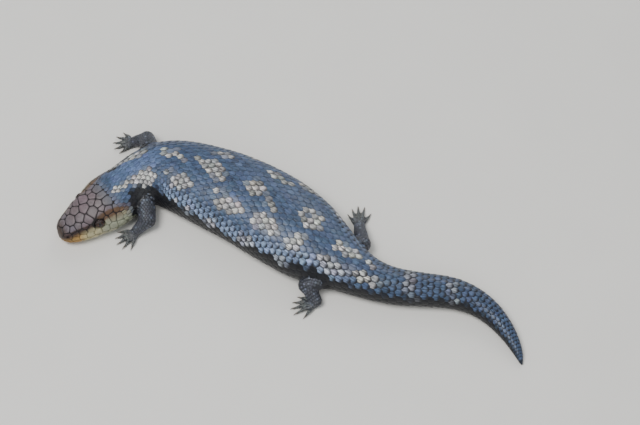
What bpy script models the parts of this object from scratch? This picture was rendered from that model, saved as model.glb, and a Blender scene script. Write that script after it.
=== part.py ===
"""A blotched blue-tongued skink at life size, resting on the floor as a museum shows one.

Metres, +Z up, with the floor at z = 0. The head points to -X and the tail to +X. Head, neck, torso and tail are
lengths of one lofted trunk that lies along a bent spine. Each limb is a leg and a foot of its own, and the eyes
are balls in the head's sockets. Pieces that touch keep GAP between them.
"""

import math

import bmesh
import bpy
import numpy as np
from mathutils import Matrix, Vector
from mathutils.bvhtree import BVHTree

MM = 0.001
GAP = 0.3 * MM

# The whole animal, from the tip of the snout along the spine to the tip of the tail
TOTAL_LENGTH = 411 * MM
SNOUT_PLACE = (-169.5 * MM, 3.2 * MM)

# How the spine lies on the floor: millimetres from the snout, and the heading there in degrees from +X
HEADINGS = (
    (0, 33), (40, 39), (56, 43), (68, 39), (80, 21), (92, 1), (104, -14), (118, -22), (150, -27), (180, -34),
    (210, -39), (240, -36), (262, -30), (285, -17), (305, -6), (322, -5), (340, -18), (355, -33), (372, -50),
    (390, -62), (411, -78),
)
# A cross-section stands square to the heading averaged over this length, so that sections don't meet in a bend
SQUARE_OVER = 44 * MM

# Offsets of the trunk in millimetres: distance from the snout, half width, height of the back, height of the
# widest level, height of the underside, and the squareness of the upper and lower halves, where 2 is an ellipse
STATIONS = {
    "snout": (0, 0.6, 9.6, 7.6, 5.4, 2.2, 2.2),
    "rostral": (1.5, 5.6, 12.6, 7.4, 3.4, 2.2, 2.2),
    "nostril": (4.5, 8.8, 15.2, 7.4, 2.0, 2.3, 2.2),
    "muzzle": (10, 11.9, 18.6, 7.7, 0.8, 2.4, 2.2),
    "lore": (18, 14.6, 22.3, 8.2, 0.0, 2.5, 2.3),
    "eye": (27, 17.0, 25.4, 8.8, 0.0, 2.5, 2.3),
    "jaw_corner": (40, 20.4, 27.4, 9.4, 0.0, 2.4, 2.3),
    "ear": (51, 21.6, 27.8, 9.9, 0.0, 2.3, 2.4),
    "nape": (62, 21.0, 28.0, 10.2, 0.0, 2.2, 2.5),
    "neck": (74, 22.4, 29.2, 10.6, 0.0, 2.1, 2.5),
    "shoulder": (90, 27.0, 32.0, 11.5, 0.0, 2.1, 2.6),
    "chest": (115, 31.0, 35.2, 12.5, 0.0, 2.1, 2.6),
    "midbody": (150, 34.5, 37.0, 13.0, 0.0, 2.1, 2.6),
    "belly": (185, 35.5, 37.0, 13.0, 0.0, 2.1, 2.6),
    "flank": (215, 33.0, 35.0, 12.5, 0.0, 2.1, 2.6),
    "hip": (240, 26.0, 31.2, 11.6, 0.0, 2.1, 2.5),
    "vent": (262, 18.5, 27.2, 10.5, 0.0, 2.1, 2.4),
    "tail_root": (282, 15.0, 24.5, 9.6, 0.0, 2.0, 2.3),
    "tail_third": (310, 13.2, 22.2, 9.0, 0.0, 2.0, 2.2),
    "tail_half": (335, 12.0, 20.0, 8.4, 0.0, 2.0, 2.2),
    "tail_bend": (355, 10.2, 17.0, 7.4, 0.0, 2.0, 2.2),
    "tail_thin": (375, 7.9, 13.4, 6.0, 0.0, 2.0, 2.2),
    "tail_end": (392, 5.4, 9.5, 4.4, 0.0, 2.0, 2.2),
    "tail_point": (404, 3.1, 6.0, 2.8, 0.0, 2.0, 2.2),
    "tail_tip": (411, 0.8, 2.6, 1.2, 0.0, 2.0, 2.2),
}
# The underside is lofted this far lower and pressed flat where it would pass the floor
PRESSED = 0.6 * MM

# Lengths of the trunk: where each ends, how far apart its rings are, and how many sides a ring has
TRUNK_LENGTHS = {
    "head": (0.0, 60 * MM, 3.4 * MM, 36),
    "neck": (60 * MM, 80 * MM, 4.5 * MM, 36),
    "torso_front": (80 * MM, 170 * MM, 6.0 * MM, 36),
    "torso_rear": (170 * MM, 264 * MM, 6.0 * MM, 36),
    "tail_root": (264 * MM, 318 * MM, 5.4 * MM, 26),
    "tail_middle": (318 * MM, 366 * MM, 4.5 * MM, 24),
    "tail_end": (366 * MM, TOTAL_LENGTH, 4.0 * MM, 20),
}

# The mouth: its line lies this far above the widest level and runs back to the jaw corner
LIP_ABOVE_WIDEST = 0.4 * MM
MOUTH_CORNER = 41 * MM
MOUTH_SLIT = 0.7 * MM
MOUTH_DEPTH = 1.4 * MM

# Head shields that are plates: distance from the snout, distance round from the middle of the crown, and reach.
# The line between two shields lies where their reaches balance.
SHIELD_RISE = 0.45 * MM
SHIELD_ROOT = 0.55 * MM
SUTURE = 0.8 * MM
LONGEST_EDGE = 3.6 * MM
CROWN_SHIELDS = {
    "rostral": (0.9, 0.0, 4.0),
    "supranasal": (5.4, 3.4, 3.0),
    "frontonasal": (13.0, 0.0, 5.6),
    "prefrontal": (20.4, 3.4, 3.4),
    "frontal": (27.2, 0.0, 4.2),
    "supraocular_1": (21.2, 9.0, 2.8),
    "supraocular_2": (26.6, 8.0, 4.6),
    "supraocular_3": (31.0, 12.0, 2.6),
    "frontoparietal": (33.0, 3.4, 3.0),
    "parietal_1": (33.4, 8.4, 2.8),
    "interparietal": (38.2, 0.0, 3.4),
    "parietal_2": (38.8, 6.2, 4.0),
    "parietal_3": (37.0, 12.6, 3.4),
    "nuchal_1": (45.2, 3.2, 3.2),
    "nuchal_2": (45.2, 9.6, 3.2),
    "nuchal_3": (51.6, 0.0, 3.2),
    "nuchal_4": (51.4, 6.4, 3.2),
    "nuchal_5": (51.4, 12.8, 3.2),
    "nasal": (4.6, 9.6, 3.2),
    "canthal_1": (9.2, 7.4, 2.4),
    "canthal_2": (13.6, 8.2, 2.6),
    "canthal_3": (17.4, 11.4, 2.4),
    "loreal_1": (9.6, 12.2, 2.6),
    "loreal_2": (14.6, 14.4, 2.6),
    "subocular_1": (20.4, 16.8, 2.6),
    "subocular_2": (32.8, 18.6, 2.6),
    "temporal_1": (37.2, 18.6, 2.8),
    "temporal_2": (42.8, 15.4, 3.0),
    "temporal_3": (42.4, 21.4, 3.0),
    "temporal_4": (48.2, 17.6, 3.0),
}
# Labial shields stand along the lip, this far above and below its line
UPPER_LABIAL_RISE = 2.4 * MM
LOWER_LABIAL_DROP = 2.8 * MM
LABIAL_REACH = 3.0
UPPER_LABIALS = (3.4, 8.4, 13.6, 19.0, 24.4, 30.0, 35.8, 41.4)
LOWER_LABIALS = (3.6, 9.4, 15.4, 21.6, 28.0, 34.6)
# No shield reaches past halfway to these places on the nape and throat
NAPE_BOUND = 57 * MM
THROAT_BOUND = 8.5 * MM

# Eyes: place along the head, height, ball, how far its centre is sunk, and the lids round the opening
EYE_AT = 27.4 * MM
EYE_HEIGHT = 18.4 * MM
EYE_RADIUS = 3.1 * MM
EYE_SUNK = 2.2 * MM
LID_THICK = 0.9 * MM
EYE_OPENING = (2.7 * MM, 1.55 * MM)

NOSTRIL_AT = (4.4 * MM, 8.6 * MM)
NOSTRIL_RADIUS = 0.8 * MM
NOSTRIL_DEPTH = 1.8 * MM

EAR_AT = 52.5 * MM
EAR_HEIGHT = 13.5 * MM
EAR_HALF_SIZES = (1.9 * MM, 2.6 * MM, 3.1 * MM)

# Limbs in millimetres from the floor's own origin: the joints, the radii between them, and the foot
LIMBS = {
    "front_left": {
        "root": (-133.0, 14.0, 16.0),
        "knee": (-129.6, -12.0, 9.6),
        "ankle": (-138.0, -18.6, 4.6),
        "radii": (7.4, 7.2, 5.6, 4.2),
        "heading": 214,
        "spread": (-34, -17, 0, 19, 41),
        "toes": (6.0, 8.0, 8.8, 8.2, 6.2),
    },
    "front_right": {
        "root": (-128.5, 41.0, 16.0),
        "knee": (-134.0, 60.6, 9.4),
        "ankle": (-144.0, 61.4, 4.6),
        "radii": (7.4, 6.8, 5.4, 4.2),
        "heading": 178,
        "spread": (-42, -20, 0, 18, 36),
        "toes": (6.0, 8.0, 8.8, 8.2, 6.2),
    },
    "hind_left": {
        "root": (17.0, -56.0, 13.0),
        "knee": (-9.6, -67.0, 10.0),
        "ankle": (-2.6, -77.6, 4.8),
        "radii": (8.4, 7.4, 5.8, 4.4),
        "heading": 194,
        "spread": (-30, -14, 0, 14, 36),
        "toes": (6.4, 9.2, 10.8, 10.4, 7.0),
    },
    "hind_right": {
        "root": (19.0, -46.0, 13.0),
        "knee": (31.6, -33.0, 10.0),
        "ankle": (29.6, -14.4, 4.8),
        "radii": (8.4, 7.2, 5.8, 4.4),
        "heading": 92,
        "spread": (-36, -14, 0, 14, 30),
        "toes": (7.0, 10.4, 10.8, 9.2, 6.4),
    },
}
PALM_HALF_SIZES = (5.2 * MM, 4.6 * MM, 3.0 * MM)
PALM_HEIGHT = 2.5 * MM
PALM_AHEAD = 2.6 * MM
TOE_RADII = (1.6 * MM, 1.45 * MM, 1.15 * MM)
TOE_LIFT = 0.9 * MM
CLAW_LENGTH = 3.4 * MM
CLAW_RADIUS = 0.75 * MM

# The colours in sRGB, with roughness
COLOURS = {
    "slate_skin": ((0.27, 0.33, 0.42), 0.55),
    "head_shield": ((0.44, 0.40, 0.40), 0.5),
    "limb_skin": ((0.22, 0.25, 0.31), 0.6),
    "eye": ((0.12, 0.07, 0.05), 0.15),
}


def clear_scene():
    for obj in list(bpy.data.objects):
        bpy.data.objects.remove(obj)


def new_collection(name):
    made = bpy.data.collections.new(name)
    bpy.context.scene.collection.children.link(made)
    return made


def linear(colour):
    """An sRGB colour as the linear one that a shader takes."""
    return [c / 12.92 if c <= 0.04045 else ((c + 0.055) / 1.055) ** 2.4 for c in colour]


def finish_named(name):
    colour, roughness = COLOURS[name]
    made = bpy.data.materials.new(name)
    made.use_nodes = True
    shader = made.node_tree.nodes["Principled BSDF"]
    shader.inputs["Base Color"].default_value = (*linear(colour), 1)
    shader.inputs["Roughness"].default_value = roughness
    shader.inputs["Metallic"].default_value = 0
    return made


def smooth_through(knots, values, at):
    """A curve through the values that never overshoots them, read at each place of at."""
    knots, values, at = (np.asarray(x, float) for x in (knots, values, at))
    step = np.diff(knots)
    rise = np.diff(values) / step
    slope = np.zeros(len(knots))
    slope[0], slope[-1] = rise[0], rise[-1]
    for i in range(1, len(knots) - 1):
        if rise[i - 1] * rise[i] > 0:
            before, after = 2 * step[i] + step[i - 1], step[i] + 2 * step[i - 1]
            slope[i] = (before + after) / (before / rise[i - 1] + after / rise[i])
    i = np.clip(np.searchsorted(knots, at) - 1, 0, len(knots) - 2)
    t = (at - knots[i]) / step[i]
    start = (1 + 2 * t) * (1 - t) ** 2 * values[i] + t * (1 - t) ** 2 * step[i] * slope[i]
    end = t * t * (3 - 2 * t) * values[i + 1] + t * t * (t - 1) * step[i] * slope[i + 1]
    return start + end


class Trunk:
    """The body without its limbs, as a surface over distance from the snout and angle round the section.

    Angle 0 is the animal's left, 90 degrees the back and 180 degrees its right.
    """

    def __init__(self):
        self.at = np.linspace(0, TOTAL_LENGTH, 823)
        knots, headings = np.array(HEADINGS, float).T
        self.heading = np.radians(smooth_through(knots * MM, headings, self.at))
        step = np.diff(self.at)
        for axis, turned in (("x", np.cos), ("y", np.sin)):
            slope = turned(self.heading)
            run = np.concatenate([[0], np.cumsum((slope[1:] + slope[:-1]) / 2 * step)])
            setattr(self, axis, SNOUT_PLACE["xy".index(axis)] + run)
        half = int(SQUARE_OVER / 2 / step[0])
        padded = np.pad(self.heading, half, mode="reflect", reflect_type="odd")
        window = np.hanning(2 * half + 3)[1:-1]
        self.square = np.convolve(padded, window / window.sum(), mode="valid")
        table = np.array(list(STATIONS.values()), float)
        self.offsets = [
            smooth_through(table[:, 0] * MM, table[:, k] * (MM if k < 5 else 1), self.at)
            for k in range(1, 7)
        ]

    def read(self, values, s):
        return float(np.interp(s, self.at, values))

    def frame(self, s):
        """The spine's point on the floor at s, and the direction to the animal's left."""
        square = self.read(self.square, s)
        return (
            Vector((self.read(self.x, s), self.read(self.y, s), 0)),
            Vector((math.sin(square), -math.cos(square), 0)),
        )

    def point(self, s, angle, swell=0.0):
        half, back, widest, underside, upper, lower = (self.read(v, s) for v in self.offsets)
        middle, left = self.frame(s)
        across, up = math.cos(angle), math.sin(angle)
        power = 2 / (upper if up >= 0 else lower)
        out = math.copysign(abs(across) ** power, across) * (half + swell)
        rise = back - widest if up >= 0 else widest - underside + PRESSED
        height = widest + math.copysign(abs(up) ** power, up) * (rise + swell)
        return middle + left * out + Vector((0, 0, max(height, -swell)))

    def outward(self, s, angle):
        """The surface's normal, read from points close by."""
        tiny_s, tiny_angle = 0.2 * MM, math.radians(1)
        near, far = max(s - tiny_s, 0), min(s + tiny_s, TOTAL_LENGTH)
        along = self.point(far, angle) - self.point(near, angle)
        around = self.point(s, angle + tiny_angle) - self.point(s, angle - tiny_angle)
        return along.cross(around).normalized()

    def angle_from_crown(self, s, distance):
        """The angle on the animal's left at that distance round from the middle of the crown."""
        angles = np.linspace(math.pi / 2, -math.pi / 2, 181)
        points = [self.point(s, a) for a in angles]
        steps = [0.0] + [(b - a).length for a, b in zip(points, points[1:])]
        return float(np.interp(distance, np.cumsum(steps), angles))

    def angle_at_height(self, s, height):
        """The angle on the animal's left at that height, above the belly."""
        angles = np.linspace(-math.pi / 3, math.pi / 2, 301)
        return float(np.interp(height, [self.point(s, a).z for a in angles], angles))

    def lip_angle(self, s):
        return self.angle_at_height(s, self.read(self.offsets[2], s) + LIP_ABOVE_WIDEST)


def mirrored(angle):
    """The same place on the animal's right."""
    return math.pi - angle


def loft(name, rings, collection):
    """A closed body through rings of as many points each, with flat ends."""
    bm = bmesh.new()
    loops = [[bm.verts.new(p) for p in ring] for ring in rings]
    sides = len(loops[0])
    for near, far in zip(loops, loops[1:]):
        for k in range(sides):
            after = (k + 1) % sides
            bm.faces.new((near[k], far[k], far[after], near[after]))
    bm.faces.new(loops[0])
    bm.faces.new(reversed(loops[-1]))
    return add_object(name, bm, collection)


def add_object(name, bm, collection):
    """The bmesh as an object, with its faces pointing out."""
    bm.normal_update()
    bmesh.ops.recalc_face_normals(bm, faces=bm.faces)
    mesh = bpy.data.meshes.new(name)
    bm.to_mesh(mesh)
    bm.free()
    obj = bpy.data.objects.new(name, mesh)
    collection.objects.link(obj)
    return obj


def trunk_rings(trunk, start, end, spacing, sides, swell=0.0):
    count = max(2, round((end - start) / spacing) + 1)
    angles = [2 * math.pi * k / sides for k in range(sides)]
    return [[trunk.point(s, a, swell) for a in angles] for s in np.linspace(start, end, count)]


def trunk_length(trunk, name, collection):
    """One length of the trunk, short of each neighbour by half the gap."""
    start, end, spacing, sides = TRUNK_LENGTHS[name]
    start += GAP / 2 if start > 0 else 0
    end -= GAP / 2 if end < TOTAL_LENGTH else 0
    rings = trunk_rings(trunk, start, end, spacing, sides)
    if name == "head":
        # The snout is blunt, so its first rings are closer
        rings[1:1] = [[trunk.point(s * MM, 2 * math.pi * k / sides) for k in range(sides)] for s in (0.3, 0.8, 1.5)]
    return loft(name, rings, collection)


def ellipsoid(name, centre, axes, half_sizes, collection, segments=16, rings=10):
    """A ball stretched along three axes, pressed flat where it would pass the floor."""
    bm = bmesh.new()
    bmesh.ops.create_uvsphere(bm, u_segments=segments, v_segments=rings, radius=1)
    turn = Matrix(axes).transposed()
    for vert in bm.verts:
        local = Vector(vert.co[k] * half_sizes[k] for k in range(3))
        vert.co = Vector(centre) + turn @ local
        vert.co.z = max(vert.co.z, 0)
    return add_object(name, bm, collection)


def tapered_tube(name, path, radii, sides, collection):
    """A tube through the points with a radius at each and round ends, pressed flat on the floor."""
    path = [Vector(p) for p in path]
    rings = []
    for k, (centre, radius) in enumerate(zip(path, radii)):
        ahead = (path[min(k + 1, len(path) - 1)] - path[max(k - 1, 0)]).normalized()
        side = ahead.cross(Vector((0, 0, 1))).normalized()
        over = side.cross(ahead)
        ring = []
        for j in range(sides):
            angle = 2 * math.pi * j / sides
            point = centre + radius * (side * math.cos(angle) + over * math.sin(angle))
            ring.append((point.x, point.y, max(point.z, 0)))
        rings.append(ring)
    return loft(name, rings, collection)


def rounded_limb(name, start, end, start_radius, end_radius, sides, collection):
    """A limb's length between two joints: fullest near its start, with a dome at each joint."""
    start, end = Vector(start), Vector(end)
    along = end - start
    length = along.length
    path, radii = [], []
    for t in (-0.96, -0.7, -0.35, 0.0):
        path.append(start + along * (t * start_radius / length))
        radii.append(start_radius * math.sqrt(1 - t * t))
    for t in (0.3, 0.6):
        path.append(start + along * t)
        radii.append((start_radius + (end_radius - start_radius) * t) * (1 + 0.06 * math.sin(math.pi * t)))
    for t in (0.0, 0.35, 0.7, 0.96):
        path.append(end + along * (t * end_radius / length))
        radii.append(end_radius * math.sqrt(1 - t * t))
    return tapered_tube(name, path, radii, sides, collection)


def bake(obj):
    """Puts the object's modifiers into its mesh."""
    graph = bpy.context.evaluated_depsgraph_get()
    mesh = bpy.data.meshes.new_from_object(obj.evaluated_get(graph))
    obj.modifiers.clear()
    obj.data = mesh


def keep_largest(obj):
    """Keeps the largest closed surface, which drops a scrap that a cut leaves."""
    bm = bmesh.new()
    bm.from_mesh(obj.data)
    left = set(bm.verts)
    groups = []
    while left:
        group, front = set(), [left.pop()]
        while front:
            vert = front.pop()
            group.add(vert)
            linked = {edge.other_vert(vert) for edge in vert.link_edges} & left
            left -= linked
            front.extend(linked)
        groups.append(group)
    largest = max(groups, key=lambda g: Vector(np.ptp([v.co for v in g], axis=0)).length)
    bmesh.ops.delete(bm, geom=[v for v in bm.verts if v not in largest], context="VERTS")
    bm.to_mesh(obj.data)
    bm.free()


def fuse(obj, pieces, solver="EXACT"):
    """Joins the pieces, each a closed body, to the object by one union."""
    group = bpy.data.collections.new("fused_" + obj.name)
    bpy.context.scene.collection.children.link(group)
    for piece in pieces:
        for held in list(piece.users_collection):
            held.objects.unlink(piece)
        group.objects.link(piece)
    joined = obj.modifiers.new("fuse", "BOOLEAN")
    joined.operation = "UNION"
    joined.operand_type = "COLLECTION"
    joined.collection = group
    joined.solver = solver
    bake(obj)
    for piece in list(group.objects):
        bpy.data.objects.remove(piece)
    bpy.data.collections.remove(group)
    keep_largest(obj)


def cut(obj, cutters, solver="EXACT"):
    """Cuts each cutter from the object, one after another."""
    for cutter in cutters:
        cutter.hide_render = True
        cutter.display_type = "WIRE"
        taken = obj.modifiers.new("cut_" + cutter.name, "BOOLEAN")
        taken.operation = "DIFFERENCE"
        taken.object = cutter
        taken.solver = solver
    bake(obj)
    keep_largest(obj)


def shield_bounds(trunk):
    """Places beside the shields, on the nape and the throat, where the small scales begin."""
    places = []
    for k in range(9):
        places.append((NAPE_BOUND, math.radians(-20 + 27.5 * k), LABIAL_REACH * MM))
    for place in LOWER_LABIALS + (41.0, 48.0):
        s = place * MM
        height = trunk.point(s, trunk.lip_angle(s)).z - THROAT_BOUND
        angle = trunk.angle_at_height(s, height)
        places += [(s, angle, LABIAL_REACH * MM), (s, mirrored(angle), LABIAL_REACH * MM)]
    return places


def shield_seeds(trunk):
    """Where each head shield is centred, as (distance, angle, reach), on both sides."""
    seeds = []
    for s, distance, reach in CROWN_SHIELDS.values():
        angle = trunk.angle_from_crown(s * MM, distance * MM)
        seeds.append((s * MM, angle, reach * MM))
        if distance > 0:
            seeds.append((s * MM, mirrored(angle), reach * MM))
    for places, below in ((UPPER_LABIALS, False), (LOWER_LABIALS, True)):
        for place in places:
            s = place * MM
            offset = -LOWER_LABIAL_DROP if below else UPPER_LABIAL_RISE
            angle = trunk.angle_at_height(s, trunk.point(s, trunk.lip_angle(s)).z + offset)
            seeds += [(s, angle, LABIAL_REACH * MM), (s, mirrored(angle), LABIAL_REACH * MM)]
    return seeds


def clip(polygon, middle, direction):
    """The part of a flat polygon that is not ahead of the line through middle."""
    kept = []
    for a, b in zip(polygon, polygon[1:] + polygon[:1]):
        da, db = (a - middle).dot(direction), (b - middle).dot(direction)
        if da <= 0:
            kept.append(a)
        if (da < 0 < db) or (db < 0 < da):
            kept.append(a.lerp(b, da / (da - db)))
    return kept


def shield_outline(seed, reach, normal, others):
    """The shield's outline in the plane that touches the head at its seed, clear of every other's share."""
    side = normal.orthogonal().normalized()
    over = normal.cross(side)
    widest = 8 * MM
    outline = [seed + side * x * widest + over * y * widest for x, y in ((-1, -1), (1, -1), (1, 1), (-1, 1))]
    for other, its_reach in others:
        apart = other - seed
        flat = apart - normal * apart.dot(normal)
        if flat.length < MM or apart.length > 3 * widest:
            continue
        direction = flat.normalized()
        share = apart.length / 2 + (reach**2 - its_reach**2) / (2 * apart.length)
        outline = clip(outline, seed + direction * (share - SUTURE / 2), direction)
    return outline


def short_edges(outline):
    """The outline with a point wherever an edge would be longer than LONGEST_EDGE."""
    points = []
    for a, b in zip(outline, outline[1:] + outline[:1]):
        if (b - a).length < 0.3 * MM:
            continue
        parts = math.ceil((b - a).length / LONGEST_EDGE)
        points += [a.lerp(b, k / parts) for k in range(parts)]
    return points


def head_shields(trunk, head, collection):
    """The large plates of the crown, cheeks and lips, as one object of many closed plates."""
    tree = BVHTree.FromObject(head, bpy.context.evaluated_depsgraph_get())
    seeds = shield_seeds(trunk)
    points = [(trunk.point(s, a), reach) for s, a, reach in seeds]
    bounds = [(trunk.point(s, a), reach) for s, a, reach in shield_bounds(trunk)]
    plates = []
    for k, (s, angle, _) in enumerate(seeds):
        normal = trunk.outward(s, angle)
        outline = shield_outline(*points[k], normal, points[:k] + points[k + 1 :] + bounds)
        outline = short_edges(outline)
        if len(outline) < 3:
            continue
        bm = bmesh.new()
        middle = sum(outline, Vector()) / len(outline)
        layers = []
        for depth in (SHIELD_RISE, -SHIELD_ROOT):
            ring = [on_surface(tree, p, normal) for p in outline]
            centre = on_surface(tree, middle, normal)
            layers.append(([bm.verts.new(p + n * depth) for p, n in ring], bm.verts.new(centre[0] + centre[1] * depth)))
        (top, crest), (bottom, root) = layers
        for i in range(len(top)):
            j = (i + 1) % len(top)
            bm.faces.new((top[i], top[j], crest))
            bm.faces.new((bottom[j], bottom[i], root))
            bm.faces.new((top[i], bottom[i], bottom[j], top[j]))
        plates.append(add_object(f"plate_{k}", bm, collection))
    return plates


def on_surface(tree, point, normal):
    """The head's point under this one along the shield's normal, with the head's own normal there."""
    hit, found, _, _ = tree.ray_cast(point + normal * 6 * MM, -normal, 14 * MM)
    if hit is None:
        hit, found, _, _ = tree.find_nearest(point)
    return hit, (found + normal).normalized()


def mouth_slit(trunk, collection):
    """A thin ribbon along the lips that cuts the line of the mouth, from one jaw corner round to the other."""
    places = np.concatenate([np.linspace(MOUTH_CORNER, 3 * MM, 14), [1.6 * MM, 0.8 * MM, 0.3 * MM]])
    left = [trunk.point(s, trunk.lip_angle(s)) for s in places]
    right = [trunk.point(s, mirrored(trunk.lip_angle(s))) for s in reversed(places)]
    line = left + right
    bm = bmesh.new()
    rows = []
    for k, point in enumerate(line):
        ahead = line[min(k + 1, len(line) - 1)] - line[max(k - 1, 0)]
        out = Vector((-ahead.y, ahead.x, 0)).normalized()
        if out.dot(point - left[0].lerp(right[-1], 0.5)) < 0:
            out = -out
        # The slit is shallow at the jaw corners
        depth = MOUTH_DEPTH * min(1, 0.35 + 0.2 * min(k, len(line) - 1 - k))
        rows.append([
            bm.verts.new(point + out * across + Vector((0, 0, up)))
            for across, up in (
                (-depth, -0.1 * MM), (2 * MM, -MOUTH_SLIT / 2), (2 * MM, MOUTH_SLIT / 2), (-depth, 0.1 * MM)
            )
        ])
    for near, far in zip(rows, rows[1:]):
        for k in range(4):
            bm.faces.new((near[k], far[k], far[(k + 1) % 4], near[(k + 1) % 4]))
    bm.faces.new(rows[0])
    bm.faces.new(reversed(rows[-1]))
    return add_object("mouth_slit", bm, collection)


def side_frame(trunk, s, angle):
    """The point on the head's side, with the directions forward along it, up over it and out of it."""
    out = trunk.outward(s, angle)
    forward = (trunk.point(s - MM, angle) - trunk.point(s + MM, angle)).normalized()
    up = out.cross(forward).normalized()
    if up.z < 0:
        up = -up
    return trunk.point(s, angle), forward, up, out


def eye_place(trunk, side):
    """The eyeball's centre and its directions forward, up and out, on one side."""
    angle = trunk.angle_at_height(EYE_AT, EYE_HEIGHT)
    point, forward, up, out = side_frame(trunk, EYE_AT, angle if side == "left" else mirrored(angle))
    return point - out * EYE_SUNK, forward, up, out


def build_head(trunk, collection, cutters):
    head = trunk_length(trunk, "head", collection)
    raised = head_shields(trunk, head, cutters)
    taken = [mouth_slit(trunk, cutters)]
    for side in ("left", "right"):
        centre, forward, up, out = eye_place(trunk, side)
        axes = (forward, up, out)
        lid = EYE_RADIUS + GAP + LID_THICK
        raised.append(ellipsoid("lids_" + side, centre, axes, (lid * 1.12, lid * 0.92, lid), cutters, 20, 12))
        socket = EYE_RADIUS + GAP
        taken.append(ellipsoid("socket_" + side, centre, axes, (socket,) * 3, cutters, 20, 12))
        opening = ellipsoid(
            "opening_" + side, centre + out * lid, axes, (*EYE_OPENING, lid * 0.9), cutters, 14, 8
        )
        taken.append(opening)
        angle = trunk.angle_from_crown(*NOSTRIL_AT)
        place = side_frame(trunk, NOSTRIL_AT[0], angle if side == "left" else mirrored(angle))
        hole = (NOSTRIL_RADIUS * 1.3, NOSTRIL_RADIUS, NOSTRIL_DEPTH)
        taken.append(ellipsoid("nostril_" + side, place[0] + place[3] * SHIELD_RISE, place[1:], hole, cutters, 8, 6))
        angle = trunk.angle_at_height(EAR_AT, EAR_HEIGHT)
        place = side_frame(trunk, EAR_AT, angle if side == "left" else mirrored(angle))
        taken.append(ellipsoid("ear_" + side, place[0], place[1:], EAR_CUP, cutters, 12, 8))
    # Many plates that meet the head at a slant are joined by the solver that takes closed bodies only
    fuse(head, raised, "MANIFOLD")
    cut(head, taken, "MANIFOLD")
    return head


EAR_CUP = (EAR_HALF_SIZES[0], EAR_HALF_SIZES[2], EAR_HALF_SIZES[1])


def build_eye(trunk, side, collection):
    centre, forward, up, out = eye_place(trunk, side)
    return ellipsoid("eye_" + side, centre, (forward, up, out), (EYE_RADIUS,) * 3, collection, 14, 8)


def in_metres(place):
    """A limb's place, given from the snout's own millimetres, in the part's frame."""
    return Vector(place) * MM + LIMB_SHIFT


LIMB_SHIFT = Vector((SNOUT_PLACE[0] + 195.0 * MM, SNOUT_PLACE[1] + 24.0 * MM, 0))


def foot_pieces(name, limb, collection, swell=0.0):
    """The palm, five toes and their claws, all swollen alike where they serve as a cutter."""
    ankle = in_metres(limb["ankle"])
    heading = math.radians(limb["heading"])
    forward = Vector((math.cos(heading), math.sin(heading), 0))
    side = Vector((-forward.y, forward.x, 0))
    up = Vector((0, 0, 1))
    palm_at = Vector((ankle.x, ankle.y, PALM_HEIGHT)) + forward * PALM_AHEAD
    sizes = [size + swell for size in PALM_HALF_SIZES]
    palm = ellipsoid("palm_" + name, palm_at, (forward, side, up), sizes, collection, 12, 7)
    pieces = []
    for k, (spread, length) in enumerate(zip(limb["spread"], limb["toes"])):
        turn = heading + math.radians(spread)
        ahead = Vector((math.cos(turn), math.sin(turn), 0))
        rank = (k - 2) / 2
        root = palm_at + forward * (1.6 - 1.2 * rank * rank) * MM + side * rank * 2.9 * MM
        root.z = TOE_RADII[0] + 0.2 * MM
        reach = length * MM + 2.2 * MM
        knuckle = root + ahead * reach * 0.5 + up * TOE_LIFT
        tip = root + ahead * reach
        tip.z = TOE_RADII[2] * 0.8
        path = (root, root.lerp(knuckle, 0.55) + up * 0.2 * MM, knuckle, knuckle.lerp(tip, 0.6), tip)
        thick = (TOE_RADII[0], TOE_RADII[0], TOE_RADII[1], TOE_RADII[2], TOE_RADII[2] * 0.75)
        pieces.append(tapered_tube(f"toe_{name}_{k}", path, [r + swell for r in thick], 6, collection))
        claw = [tip - ahead * 0.8 * MM + up * 0.35 * MM, tip + ahead * CLAW_LENGTH * 0.45 + up * 0.35 * MM]
        claw.append(tip + ahead * CLAW_LENGTH)
        claw[-1].z = 0.25 * MM
        claw_radii = (CLAW_RADIUS, CLAW_RADIUS * 0.72, 0.12 * MM)
        pieces.append(tapered_tube(f"claw_{name}_{k}", claw, [r + swell for r in claw_radii], 5, collection))
    return palm, pieces


def build_foot(name, limb, collection, cutters, trunk_cutter):
    palm, pieces = foot_pieces(name, limb, cutters)
    cutters.objects.unlink(palm)
    collection.objects.link(palm)
    palm.name = "foot_" + name
    fuse(palm, pieces)
    cut(palm, [trunk_cutter])
    return palm


def build_leg(name, limb, collection, cutters, trunk_cutter):
    root, knee, ankle = (in_metres(limb[joint]) for joint in ("root", "knee", "ankle"))
    root_radius, thigh_end, shank_start, ankle_radius = (r * MM for r in limb["radii"])
    leg = rounded_limb("leg_" + name, root, knee, root_radius, thigh_end * 0.92, 14, collection)
    shank = rounded_limb("shank_" + name, knee, ankle, shank_start, ankle_radius, 12, cutters)
    fuse(leg, [shank])
    palm, pieces = foot_pieces(name + "_grown", limb, cutters, GAP)
    fuse(palm, pieces)
    cut(leg, [trunk_cutter, palm])
    return leg


def smooth_shaded(obj, finish):
    obj.data.materials.clear()
    obj.data.materials.append(finish)
    obj.data.shade_smooth()
    obj.data.set_sharp_from_angle(angle=math.radians(35))


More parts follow.
